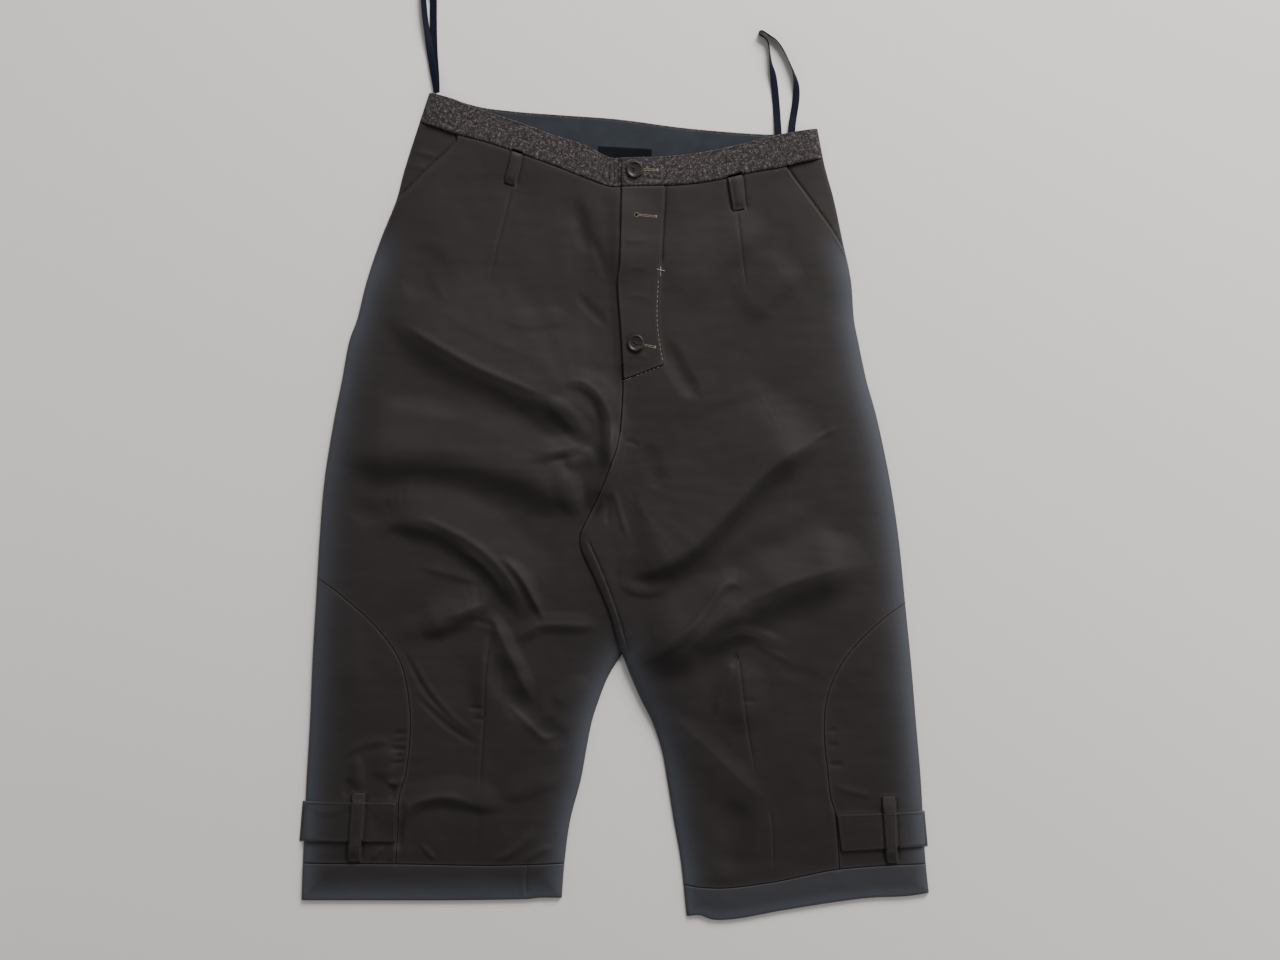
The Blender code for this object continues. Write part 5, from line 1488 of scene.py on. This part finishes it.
class Surface:
    """The dressed cloth as it is so far, for laying small pieces on it."""

    def __init__(self) -> None:
        """Gather the triangles of every cloth piece."""
        vertices, polygons = [], []
        for piece in bpy.data.objects:
            if piece.name.startswith("cloth_"):
                first = len(vertices)
                vertices.extend(v.co[:] for v in piece.data.vertices)
                polygons.extend(tuple(first + k for k in p.vertices) for p in piece.data.polygons)
        self.tree = BVHTree.FromPolygons(vertices, polygons)

    def drop(self, across: float, down: float) -> tuple[Vector, Vector]:
        """Let a point fall on the cloth.

        Args:
            across: Its place on the table.
            down: Its place on the table.

        Returns:
            Where it lands and the cloth's normal there, in millimetres.
        """
        start = place(across, down, 90.0)
        spot, normal, _, _ = self.tree.ray_cast(start, -UP)
        if spot is None:
            return start * (1 / MM) - 90.0 * UP, UP
        return spot * (1 / MM), normal


def circle(radius: float, count: int, centre: tuple[float, float] = (0.0, 0.0),
           start: float = 0.0) -> list[tuple[float, float]]:
    """Even points round a centre, the first one at an angle of start radians."""
    return [(centre[0] + radius * math.cos(start + 2 * math.pi * k / count),
             centre[1] + radius * math.sin(start + 2 * math.pi * k / count)) for k in range(count)]


def tube_rings(path: list[Vector], radii: list[float], normal: Vector, sides: int,
               first: int) -> tuple[list[Vector], list[tuple[int, ...]]]:
    """Sweep a round section along a short path.

    Args:
        path: Its points in millimetres.
        radii: Radius at each point.
        normal: A direction that isn't along the path.
        sides: Corners of the section.
        first: Number of the first vertex.

    Returns:
        Vertices and faces, closed at both ends.
    """
    vertices, faces = [], []
    for k, (spot, radius) in enumerate(zip(path, radii)):
        run = (path[min(k + 1, len(path) - 1)] - path[max(k - 1, 0)]).normalized()
        aside = run.cross(normal).normalized()
        up = aside.cross(run).normalized()
        vertices.extend(spot + radius * (x * aside + y * up) for x, y in circle(1.0, sides))
    for k in range(len(path) - 1):
        for j in range(sides):
            a, b = first + k * sides + j, first + k * sides + (j + 1) % sides
            faces.append((a, a + sides, b + sides, b))
    faces.append(tuple(first + j for j in range(sides)))
    last = first + (len(path) - 1) * sides
    faces.append(tuple(last + j for j in reversed(range(sides))))
    return vertices, faces


class Threads:
    """Visible thread of one colour, gathered into one piece."""

    def __init__(self, name: str, finish: Finish, radius: float = 0.27) -> None:
        """Start an empty piece.

        Args:
            name: The piece's name.
            finish: The thread's finish.
            radius: Of the thread, in millimetres.  Real thread is half this, too thin to show.
        """
        self.name, self.finish, self.radius = name, finish, radius
        self.vertices: list[Vector] = []
        self.faces: list[tuple[int, ...]] = []

    def bar(self, surface: Surface, start: tuple[float, float], end: tuple[float, float],
            rise: float = 0.12, thick: float = 1.0) -> None:
        """Lay one stitch on the cloth, its ends going into it.

        Args:
            surface: The cloth.
            start: (across, down) of one end.
            end: (across, down) of the other.
            rise: How far its middle stands over the cloth, in millimetres.
            thick: Its thickness as a share of the thread's.
        """
        (a, normal), (b, _) = surface.drop(*start), surface.drop(*end)
        middle, _ = surface.drop(0.5 * (start[0] + end[0]), 0.5 * (start[1] + end[1]))
        crown = Vector((middle.x, middle.y, max(middle.z, 0.5 * (a.z + b.z)))) + rise * normal
        path = [a - 0.3 * normal, a.lerp(crown, 0.25) + 0.6 * rise * normal, crown,
                crown.lerp(b, 0.75) + 0.6 * rise * normal, b - 0.3 * normal]
        radius = self.radius * thick
        self.tube(path, [0.6 * radius, radius, radius, radius, 0.6 * radius], normal)

    def tube(self, path: list[Vector], radii: list[float], normal: Vector) -> None:
        """Add one length of thread: its points and radii, and a direction that isn't along it."""
        vertices, faces = tube_rings(path, radii, normal, 6, len(self.vertices))
        self.vertices.extend(vertices)
        self.faces.extend(faces)

    def row(self, surface: Surface, line: Points, length: float = 2.3, gap: float = 0.8) -> None:
        """Sew a row of straight stitches along a line.

        Args:
            surface: The cloth.
            line: (across, down) points of the row.
            length: Of a stitch, in millimetres.
            gap: Between two stitches.
        """
        run = run_along(line)
        for at in np.arange(0.4, run[-1] - length, length + gap):
            ends = [(float(np.interp(s, run, line[:, 0])), float(np.interp(s, run, line[:, 1])))
                    for s in (at, at + length)]
            self.bar(surface, *ends)

    def build(self) -> None:
        """Make the piece."""
        finish_object(self.name, np.array([v[:] for v in self.vertices]), self.faces, self.finish)


@dataclass
class Stitching:
    """Every visible row of stitches."""

    edge: float = 1.7           # rows run this far in from an edge
    belt_inset: float = 1.6     # and these far in from the long sides of the loops
    tab_inset: float = 1.8

    def build(self, front: LaidFront, surface: Surface, finishes: Finishes) -> None:
        """Sew the dark rows and the pale ones."""
        dark = Threads("stitches_charcoal", finishes.dark_thread)
        lines = front.fine
        for name, offset, start, end in (
                # curve, offset, and the shares of it between which the row runs
                ("band_seam_right", -self.edge, 0.03, 0.97), ("band_seam_left", -self.edge, 0.03, 0.97),
                ("waist_right", self.edge, 0.03, 0.97), ("waist_left", self.edge, 0.03, 0.97),
                ("hem_seam_right", -1.2, 0.03, 0.97), ("hem_seam_left", -1.2, 0.03, 0.97),
                ("pocket_right", -self.edge, 0.05, 0.95), ("pocket_left", self.edge, 0.05, 0.95),
                ("placket_side", self.edge, 0.0, 0.45), ("fly", -self.edge, 0.12, 0.97)):
            dark.row(surface, beside(lines[name], offset, start, end))
        for name in LOOPS:
            inset = self.belt_inset if name.startswith("belt") else self.tab_inset
            a, b, c, d = (np.array(corner) for corner in PATCHES[name])
            for top, foot, other_top, other_foot in ((a, d, b, c), (b, c, a, d)):
                start = top + inset * (other_top - top) / np.linalg.norm(other_top - top)
                end = foot + inset * (other_foot - foot) / np.linalg.norm(other_foot - foot)
                # a belt loop's upper end goes under the band's edge
                start = start + 0.14 * (end - start) if name.startswith("belt") else start
                dark.row(surface, np.array([start, end]), 1.9, 0.7)
        for name in ("ankle_tab_right", "ankle_tab_left"):
            centre = np.mean(PATCHES[name], axis=0)
            ring = [np.array(corner) for corner in PATCHES[name]]
            ring = [c + 2.2 * np.sign(centre - c) for c in ring]
            for a, b in zip(ring, [*ring[1:], ring[0]]):
                dark.row(surface, np.array([a, b]))
        dark.build()
        pale = Threads("stitches_pale", finishes.pale_thread, 0.18)
        pale.row(surface, beside(lines["placket_side"], 1.0, 0.53, 0.99), 2.4, 2.4)
        pale.row(surface, beside(lines["placket_end"], -0.9, 0.1, 0.73), 2.2, 2.2)
        pale.row(surface, beside(lines["placket_end"], -0.9, 0.75, 0.99), 3.4, 0.0)
        for start, end in (((660.6, 267.0), (660.4, 278.0)), ((656.2, 270.0), (665.0, 272.0))):
            pale.bar(surface, start, end, 0.35, 1.5)
        pale.build()


@dataclass
class Buttonhole:
    """A keyhole buttonhole, worked in tan thread round a slot."""

    name: str
    eyelet: tuple[float, float]     # (across, down) of its round end
    end: tuple[float, float]
    eyelet_radius: float = 1.7
    whips: int = 15                 # stitches round the eyelet
    whip: float = 0.8               # length of its stitches
    pitch: float = 0.62             # spacing of those along the slot
    half_slot: float = 0.3
    half_bar: float = 1.7           # of the bar across its end
    hidden: float = 0.0             # the share of it under the button

    def build(self, surface: Surface, finishes: Finishes) -> None:
        """Work the stitches, the bar at its end and the slot between them, a near-black sheet of painted
        shadow.
        """
        tan = Threads(self.name + "_thread", finishes.tan_thread, 0.2)
        start, end = np.array(self.eyelet), np.array(self.end)
        run = (end - start) / np.linalg.norm(end - start)
        aside = np.array([-run[1], run[0]])
        length = float(np.linalg.norm(end - start))
        rng = random.Random(11)
        if self.hidden == 0.0:
            for k in range(self.whips):
                angle = math.pi + math.radians(-140 + 280 * k / (self.whips - 1))
                way = math.cos(angle) * run + math.sin(angle) * aside
                a, b = start + self.eyelet_radius * way, start + (self.eyelet_radius + self.whip) * way
                tan.bar(surface, tuple(a), tuple(b), 0.22)
        for at in np.arange(max(self.eyelet_radius * 0.9, self.hidden * length), length, self.pitch):
            for side in (-1, 1):
                a = start + at * run + side * self.half_slot * aside
                reach = self.whip + rng.uniform(-0.25, 0.3)
                b = a + side * reach * aside + rng.uniform(-0.25, 0.25) * run
                tan.bar(surface, tuple(a), tuple(b), 0.22)
        for shift in (0.0, 0.55, 1.1):
            a = end + shift * run - self.half_bar * aside
            tan.bar(surface, tuple(a), tuple(a + 2 * self.half_bar * aside), 0.35, 1.1)
        tan.build()
        # The slot is a near-black sheet laid in the opening: painted shadow.
        rim = [start + self.eyelet_radius * (math.cos(t) * run + math.sin(t) * aside)
               for t in np.radians(np.linspace(25, 335, 16))]
        outline = [*rim, end - self.half_slot * aside, end + self.half_slot * aside]
        slot = [surface.drop(*spot)[0] + 0.12 * UP for spot in outline]
        lowered = [v - 0.3 * UP for v in slot]
        count = len(slot)
        faces = [tuple(range(count)), tuple(reversed(range(count, 2 * count)))]
        faces += [(k, k + count, (k + 1) % count + count, (k + 1) % count) for k in range(count)]
        vertices = np.array([v[:] for v in (*slot, *lowered)])
        finish_object(self.name + "_slot", vertices, faces, finishes.hole)


@dataclass
class Button:
    """A four-hole turned button with a dished middle and a rounded rim."""

    node: str
    tilt: float                 # degrees by which its side at high across is raised
    spin: float = 20.0
    radius: float = 8.5
    height: float = 2.8
    hole_radius: float = 0.85
    hole_spread: float = 1.75
    sides: int = 40             # corners of its rings
    hole_sides: int = 14        # and of its holes

    def rings(self) -> tuple[tuple[float, float], ...]:
        """Radius and height of each turned ring, from the dish outwards and under."""
        r, h = self.radius, self.height
        return ((0.55 * r, 0.55 * h), (0.66 * r, 0.62 * h), (0.74 * r, 0.86 * h), (0.80 * r, 0.98 * h),
                (0.87 * r, h), (0.93 * r, 0.94 * h), (0.98 * r, 0.76 * h), (r, 0.55 * h),
                (0.98 * r, 0.34 * h), (0.92 * r, 0.16 * h), (0.78 * r, 0.0), (0.55 * r, 0.0))

    def build(self, finishes: Finishes) -> None:
        """Turn the button, drill its holes and sew it on."""
        rings, sides, count = self.rings(), self.sides, self.hole_sides
        vertices = [(x, y, z) for r, z in rings for x, y in circle(r, sides)]
        faces = [(k * sides + j, (k + 1) * sides + j, (k + 1) * sides + (j + 1) % sides,
                  k * sides + (j + 1) % sides) for k in range(len(rings) - 1) for j in range(sides)]
        holes = circle(self.hole_spread, 4, start=math.pi / 4)
        circles = [circle(rings[0][0], sides), *(circle(self.hole_radius, count, hole) for hole in holes)]
        flat, loops = [], []
        for ring in circles:
            loops.append([len(flat) + k for k in range(len(ring))])
            flat.extend(ring)
        edges = [(loop[k], loop[(k + 1) % len(loop)]) for loop in loops for k in range(len(loop))]
        _, _, triangles, _, _, _ = delaunay_2d_cdt(flat, edges, [], 0, 1e-6, True)
        kept = [t for t in triangles
                if all(np.hypot(*(np.mean([flat[v] for v in t], axis=0) - hole)) > self.hole_radius
                       for hole in np.array(holes)) and max(t) < len(flat)]
        for level, turned, rim in ((rings[0][1], False, 0), (rings[-1][1], True, len(rings) - 1)):
            number = {v: rim * sides + v for v in loops[0]}
            for v in range(sides, len(flat)):
                number[v] = len(vertices)
                vertices.append((*flat[v], level))
            faces.extend(tuple(number[v] for v in (reversed(t) if turned else t)) for t in kept)
            if turned:
                for loop in loops[1:]:
                    faces.extend((above[loop[k]], above[loop[(k + 1) % count]],
                                  number[loop[(k + 1) % count]], number[loop[k]]) for k in range(count))
            above = number
        low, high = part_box(self.node)
        matrix = np.array(Matrix.Rotation(math.radians(-self.tilt), 3, "Y")
                          @ Matrix.Rotation(math.radians(self.spin), 3, "Z"))
        placed = np.array(vertices) @ matrix.T
        middle = np.array([(low.x + high.x) / 2, (low.y + high.y) / 2, 0.0]) / MM
        shift = middle + np.array([0.0, 0.0, low.z / MM - placed[:, 2].min()])
        piece = finish_object(self.node.replace("button", "horn_button"), placed + shift, faces,
                              finishes.horn, 50.0)
        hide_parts(self.node)
        threads = Threads(self.node + "_thread", finishes.dark_thread)
        for a, b in ((0, 1), (3, 2)):
            for apart in (-0.22, 0.22):
                one, two = (Vector((*holes[k], rings[0][1])) for k in (a, b))
                across = UP.cross(two - one).normalized() * apart
                path = [spot + across + rise * UP for spot, rise in (
                    (one, -1.2), (one, 0.15), (one.lerp(two, 0.5), 0.4), (two, 0.15), (two, -1.2))]
                path = [Vector(matrix @ np.array(p) + shift) for p in path]
                threads.tube(path, [0.3] * 5, Vector((0.2, 0.3, 1.0)))
        threads.build()


@dataclass(frozen=True)
class HangerLoop:
    """A narrow ribbon from the waist, out over the table and back."""

    name: str
    length: float               # metres
    route: tuple[tuple[float, float, float, float], ...]    # across, down, height of its middle, tilt
    width: float = 7.0
    wall: float = 0.9

    def build(self, finishes: Finishes) -> None:
        """Sweep the ribbon's section along its route."""
        path = spline(self.route, 2.0)
        xy = np.array([plan(p) for p in path[:, :2]])
        along = np.gradient(xy, axis=0)
        along /= np.linalg.norm(along, axis=1)[:, None]
        half = [(-1.0, -0.2), (-0.92, -0.8), (-0.8, -1.0), (-0.3, -0.72), (0.3, -0.72), (0.8, -1.0),
                (0.92, -0.8), (1.0, -0.2)]      # its edges are thicker than its middle
        section = [*half, *((-u, -v) for u, v in half)]
        vertices, sides = [], len(section)
        for spot, direction, height, tilt in zip(xy, along, path[:, 2], np.radians(path[:, 3])):
            aside, up = np.array([-direction[1], direction[0], 0.0]), np.array(UP)
            wide = 0.5 * self.width * (math.cos(tilt) * aside + math.sin(tilt) * up)
            thin = 0.5 * self.wall * (math.cos(tilt) * up - math.sin(tilt) * aside)
            vertices.extend(np.array([*spot, height]) + u * wide + v * thin for u, v in section)
        faces = [(a, b, b + sides, a + sides) for k in range(len(path) - 1)
                 for a, b in ((sides * k + j, sides * k + (j + 1) % sides) for j in range(sides))]
        faces += [tuple(reversed(range(sides))), tuple(len(vertices) - sides + j for j in range(sides))]
        piece = finish_object("ribbon_" + self.name, np.array(vertices), faces, finishes.ribbon, 70.0)
        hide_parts(self.name)


HANGER_LOOPS = (
    HangerLoop("hanger_loop_left", 0.251, (
        # across, down, middle height, tilt
        (778, 147, 3.15, 0), (778, 134, 3.15, 0), (777.2, 120, 1.7, 0), (776.2, 105, 0.85, 2),
        (774.6, 88, 1.4, 10), (773, 75, 2.55, 30), (770.8, 64, 3.6, 66), (769.8, 54, 3.75, 84),
        (768.6, 45.5, 3.8, 90), (766.6, 40.2, 3.8, 90), (763.2, 37.2, 3.8, 90), (760.1, 35.6, 3.8, 90),
        (758.6, 33.5, 3.8, 90), (760.2, 31.4, 3.8, 90), (763, 31.9, 3.8, 90), (766.6, 34.2, 3.8, 90),
        (771, 37.2, 3.8, 90), (775.6, 40.4, 3.8, 91), (780.4, 46, 3.8, 92), (785.2, 54, 3.8, 94),
        (789.8, 64, 3.75, 98), (793.6, 73.5, 3.75, 108), (796, 84, 2.8, 142), (796.3, 94, 1.4, 168),
        (795.4, 104, 0.9, 178), (793.8, 114, 1.1, 180), (792.4, 123, 2.1, 180), (791.4, 133, 3.15, 180),
        (790.8, 146, 3.15, 180))),
    HangerLoop("hanger_loop_right", 0.240, (
        (437.6, 93.3, 3.1, -45), (436.9, 84, 2.6, -32), (435.8, 72, 1.7, -14), (434.6, 58, 0.8, -2),
        (433.8, 40, 0.75, 0), (433.5, 20, 0.75, 0), (433.5, 2, 0.85, 2), (433.5, -7, 2.35, 27),
        (433.4, -14, 3.7, 68), (433.2, -19, 3.8, 86), (431.8, -22.3, 3.8, 90), (428.5, -23.7, 3.8, 90),
        (425.2, -22.3, 3.8, 90), (423.9, -19, 3.8, 92), (423.7, -10, 3.6, 110), (423.9, 0, 3.1, 134),
        (424.5, 10, 2.9, 140), (425.5, 20, 2.8, 143), (427, 30, 2.7, 148), (428.6, 40, 2.5, 160),
        (430, 50, 2.2, 174), (431.3, 58, 2.2, 182), (433.6, 72, 3.1, 194), (435.3, 84, 3.9, 212),
        (436, 92.6, 4.2, 225))),
)


@dataclass
class Back:
    """The back lies flat on the table: band, two panels and the back halves of the hem bands."""

    step: float = 6.0           # spacing of the mesh
    cuts: dict[str, tuple[float, float, float]] = field(default_factory=lambda: {
        # node: width, length, area
        "waistband_back": (0.400, 0.060, 0.0130), "back_panel_right": (0.330, 0.740, 0.200),
        "back_panel_left": (0.330, 0.750, 0.200), "hem_band_back_right": (0.268, 0.037, 0.0096),
        "hem_band_back_left": (0.260, 0.040, 0.0083)})
    swell_width: float = 26.0       # to each side of its line; each swell is 1 mm high
    swells: tuple[Line, ...] = (
        ((400, 330), (470, 352), (560, 372)), ((350, 470), (430, 480), (540, 505)),
        ((380, 600), (450, 590), (540, 610)), ((360, 740), (430, 730), (520, 745)),
        ((850, 330), (780, 352), (690, 372)), ((880, 470), (800, 484), (700, 512)),
        ((860, 610), (780, 600), (690, 625)), ((880, 760), (800, 752), (720, 770)),
    )

    def build(self, front: LaidFront, finishes: Finishes) -> None:
        """Build the five plies."""
        names = (*WRAPPED, "hem_right", "hem_left", "hem_seam_right", "hem_seam_left", "waist_back")
        band = spline(((412, 123), (440, 128.5), (480, 138), (520, 143), (560, 146), (620, 150.5),
                       (680, 158.5), (735, 163.5), (775, 165), (800, 161), (828, 158)), LINE_STEP)
        centre = spline(((620.0, 146.0), (619.0, 400.0), (622.0, 654.0), (622.0, 656.0)), LINE_STEP)
        lines = [*(front.fine[name] for name in names), band, centre]
        spots = dense(lines)
        lattice = lattice_points((300.0, 92.0), (932.0, 920.0), self.step)
        rows = [lattice[distance_to(lattice, spots, 8.0) > 4.5], *rows_beside(lines, (0.8, 2.2), spots)]
        cells = {"waistband_back": (620, 135), "back_panel_right": (480, 500),
                 "back_panel_left": (760, 500), "hem_band_back_right": (430, 880),
                 "hem_band_back_left": (800, 895)}
        cut = Cut(lines, np.vstack(rows), cells)
        table = cut.table_points()
        raised = np.zeros(len(table))
        edge = distance_to(table, spots, 40.0)
        for line in self.swells:
            dist, _, along = nearest(table, spline(line, 8.0), self.swell_width)
            bell = 0.5 + 0.5 * np.cos(math.pi * np.minimum(dist / self.swell_width, 1.0))
            raised += bell * smooth_step(along / 0.3) * smooth_step((1 - along) / 0.3)
        raised *= smooth_step((edge - 6.0) / 20.0)
        wrapped = dense(front.fine[name] for name in WRAPPED)
        inset = np.where(distance_to(table, wrapped, 3.0) < 0.1, 1.25, 0.4 * GAP)
        # A lighter line along each edge: painted highlight on the rounded rim, with rubbing.
        wear_and_highlight = 0.4 * np.exp(-((edge - 1.5) / 0.9) ** 2)
        for name in cells:
            faces = cut.faces_of(name)
            rim = rim_distance(table, np.unique(faces), table[border_of(faces)])
            rounding = 1.0 - round_over(rim, 0.9)
            shell = cut.close(faces, raised + 0.35 * rounding, raised + BACK_PLY - 0.4 * rounding, inset)
            sew(name, shell, finishes.tweed if name == "waistband_back" else finishes.body,
                cut.points, np.zeros(len(table)), wear_and_highlight)


@dataclass
class InnerWaist:
    """The slate facing inside the back waist, and the plain label sewn on it."""

    upper: Line = ((444, 98.5), (480, 109), (520, 114), (560, 117), (620, 121.5), (680, 129.5),
                   (735, 134.5), (775, 136.5), (803, 134))
    lower: Line = ((801, 152), (760, 160), (700, 172), (640, 177), (580, 168), (520, 143), (450, 112))
    label: Line = ((598.5, 146.5), (652, 149.5), (650.5, 171), (599.5, 169))
    step: float = 2.4           # spacing of the mesh
    facing_cut: SheetCut = SheetCut(0.360, 0.056, 0.0125, ("waistband_back",))
    label_cut: SheetCut = SheetCut(0.054, 0.022, 0.00116, ("waistband_facing",))

    def ply(self, name: str, outline: Points, bottom: float, wall: float, wave: float, finish: Finish,
            sheet: SheetCut) -> None:
        """Make a flat ply with rounded rims and a slight wave.

        Args:
            name: Node that it stands for.
            outline: Closed line of its edge.
            bottom: Height of its underside.
            wall: Its thickness.
            wave: Height of the waves on its top.
            finish: Its finish.
            sheet: Its flat cut; not used.
        """
        spots = dense([outline])
        lattice = lattice_points(outline.min(0), outline.max(0), self.step)
        rows = [lattice[distance_to(lattice, spots, SEAM_REACH) > 2.2],
                *rows_beside([outline], (0.6, 1.3), spots)]
        cut = Cut([outline], np.vstack(rows), {"ply": tuple(outline.mean(0))})
        table = cut.table_points()
        depth = distance_to(table, spots, RIM_REACH)
        ripple = np.array([noise.noise(Vector((x / 13.0, y / 30.0, 5.0))) for x, y in table])
        top = (bottom + wall - 0.6 * wall * (1 - round_over(depth, 0.9))
               + wave * smooth_step(depth / 6.0) * np.abs(ripple))
        level = np.full(len(table), bottom)
        none = np.zeros(len(table))
        sew(name, cut.close(cut.faces_of("ply"), level, top, 0.0), finish, cut.points, none, none)

    def build(self, finishes: Finishes) -> None:
        """Build the facing and the label."""
        upper, lower = spline(self.upper, 3.0), spline(self.lower, 3.0)
        ends = [np.linspace(upper[-1], lower[0], 7)[1:-1], np.linspace(lower[-1], upper[0], 6)[1:]]
        outline = np.vstack([upper, ends[0], lower, ends[1]])
        self.ply("waistband_facing", outline, BACK_PLY + GAP, FACING_PLY, 0.25, finishes.facing,
                 self.facing_cut)
        outline = straight((*self.label, self.label[0]), 2.0)
        self.ply("waist_label", outline, BACK_PLY + FACING_PLY + 2 * GAP, LABEL_PLY, 0.15, finishes.label,
                 self.label_cut)


def camera_and_light() -> None:
    """A camera straight over the table, soft light from the waist side, and a plain pale floor."""
    height, view_width, sensor = 3.0, 1.28, 36.0    # metres, metres, millimetres
    scene = bpy.context.scene
    data = bpy.data.cameras.new("camera")
    data.sensor_width, data.lens = sensor, sensor * height / view_width
    camera = bpy.data.objects.new("camera", data)
    camera.location = (0.0255, 0.0255, height)
    scene.collection.objects.link(camera)
    scene.camera = camera
    world = bpy.data.worlds.new("studio")
    world.use_nodes = True
    background = world.node_tree.nodes["Background"]
    background.inputs["Color"].default_value = linear("F2F3F6")
    background.inputs["Strength"].default_value = 0.20
    scene.world = world
    for name, power, size, spot, aim in (
            # watts, side of the lamp, its place and where it points, in metres
            ("key", 128.0, 1.3, (1.04, 2.40, 1.50), (0.0, 0.0, 0.0)),
            ("fill", 7.0, 1.2, (1.6, 0.0, 0.75), (0.0, 0.0, 0.0)),
            ("low fill", 2.5, 1.0, (1.25, -1.0, 0.6), (0.2, -0.35, 0.0)),
            ("rim", 6.0, 1.4, (-1.5, 0.0, 0.9), (0.0, 0.0, 0.0))):
        light = bpy.data.lights.new(name, "AREA")
        light.energy, light.size = power, size
        lamp = bpy.data.objects.new(name, light)
        lamp.location = spot
        lamp.rotation_euler = (Vector(spot) - Vector(aim)).to_track_quat("Z", "Y").to_euler()
        scene.collection.objects.link(lamp)
    floor_mesh = bpy.data.meshes.new("floor")
    floor_mesh.from_pydata([(-6, -6, 0), (6, -6, 0), (6, 6, 0), (-6, 6, 0)], [], [(0, 1, 2, 3)])
    floor = bpy.data.objects.new("floor", floor_mesh)
    scene.collection.objects.link(floor)
    paint = {"Base Color": linear("ECE6E0"), "Roughness": 0.9}
    floor_mesh.materials.append(new_material("painted floor, pale grey", paint)[0])


def main() -> None:
    """Build the trousers, from the table up."""
    logging.basicConfig(level=logging.INFO, format="%(message)s")
    camera_and_light()
    finishes = Finishes()
    front = LaidFront()
    Pockets().build(front, finishes)
    Legs().build(front, finishes)
    Hems().build(front, finishes)
    Waistband().build(front, finishes)
    Straps().build(front, finishes)
    Back().build(front, finishes)
    InnerWaist().build(finishes)
    surface = Surface()
    Stitching().build(front, surface, finishes)
    Buttonhole("waist_buttonhole", (634.0, 170.5), (657.0, 171.2), hidden=0.42).build(surface, finishes)
    Buttonhole("open_buttonhole", (636.5, 216.0), (655.5, 217.8)).build(surface, finishes)
    Buttonhole("fly_buttonhole", (635.0, 344.0), (654.5, 348.0), hidden=0.45).build(surface, finishes)
    Button("button_waist", 2.0).build(finishes)
    Button("button_fly", 8.0, 35.0).build(finishes)
    for loop in HANGER_LOOPS:
        loop.build(finishes)


if __name__ == "__main__":
    main()
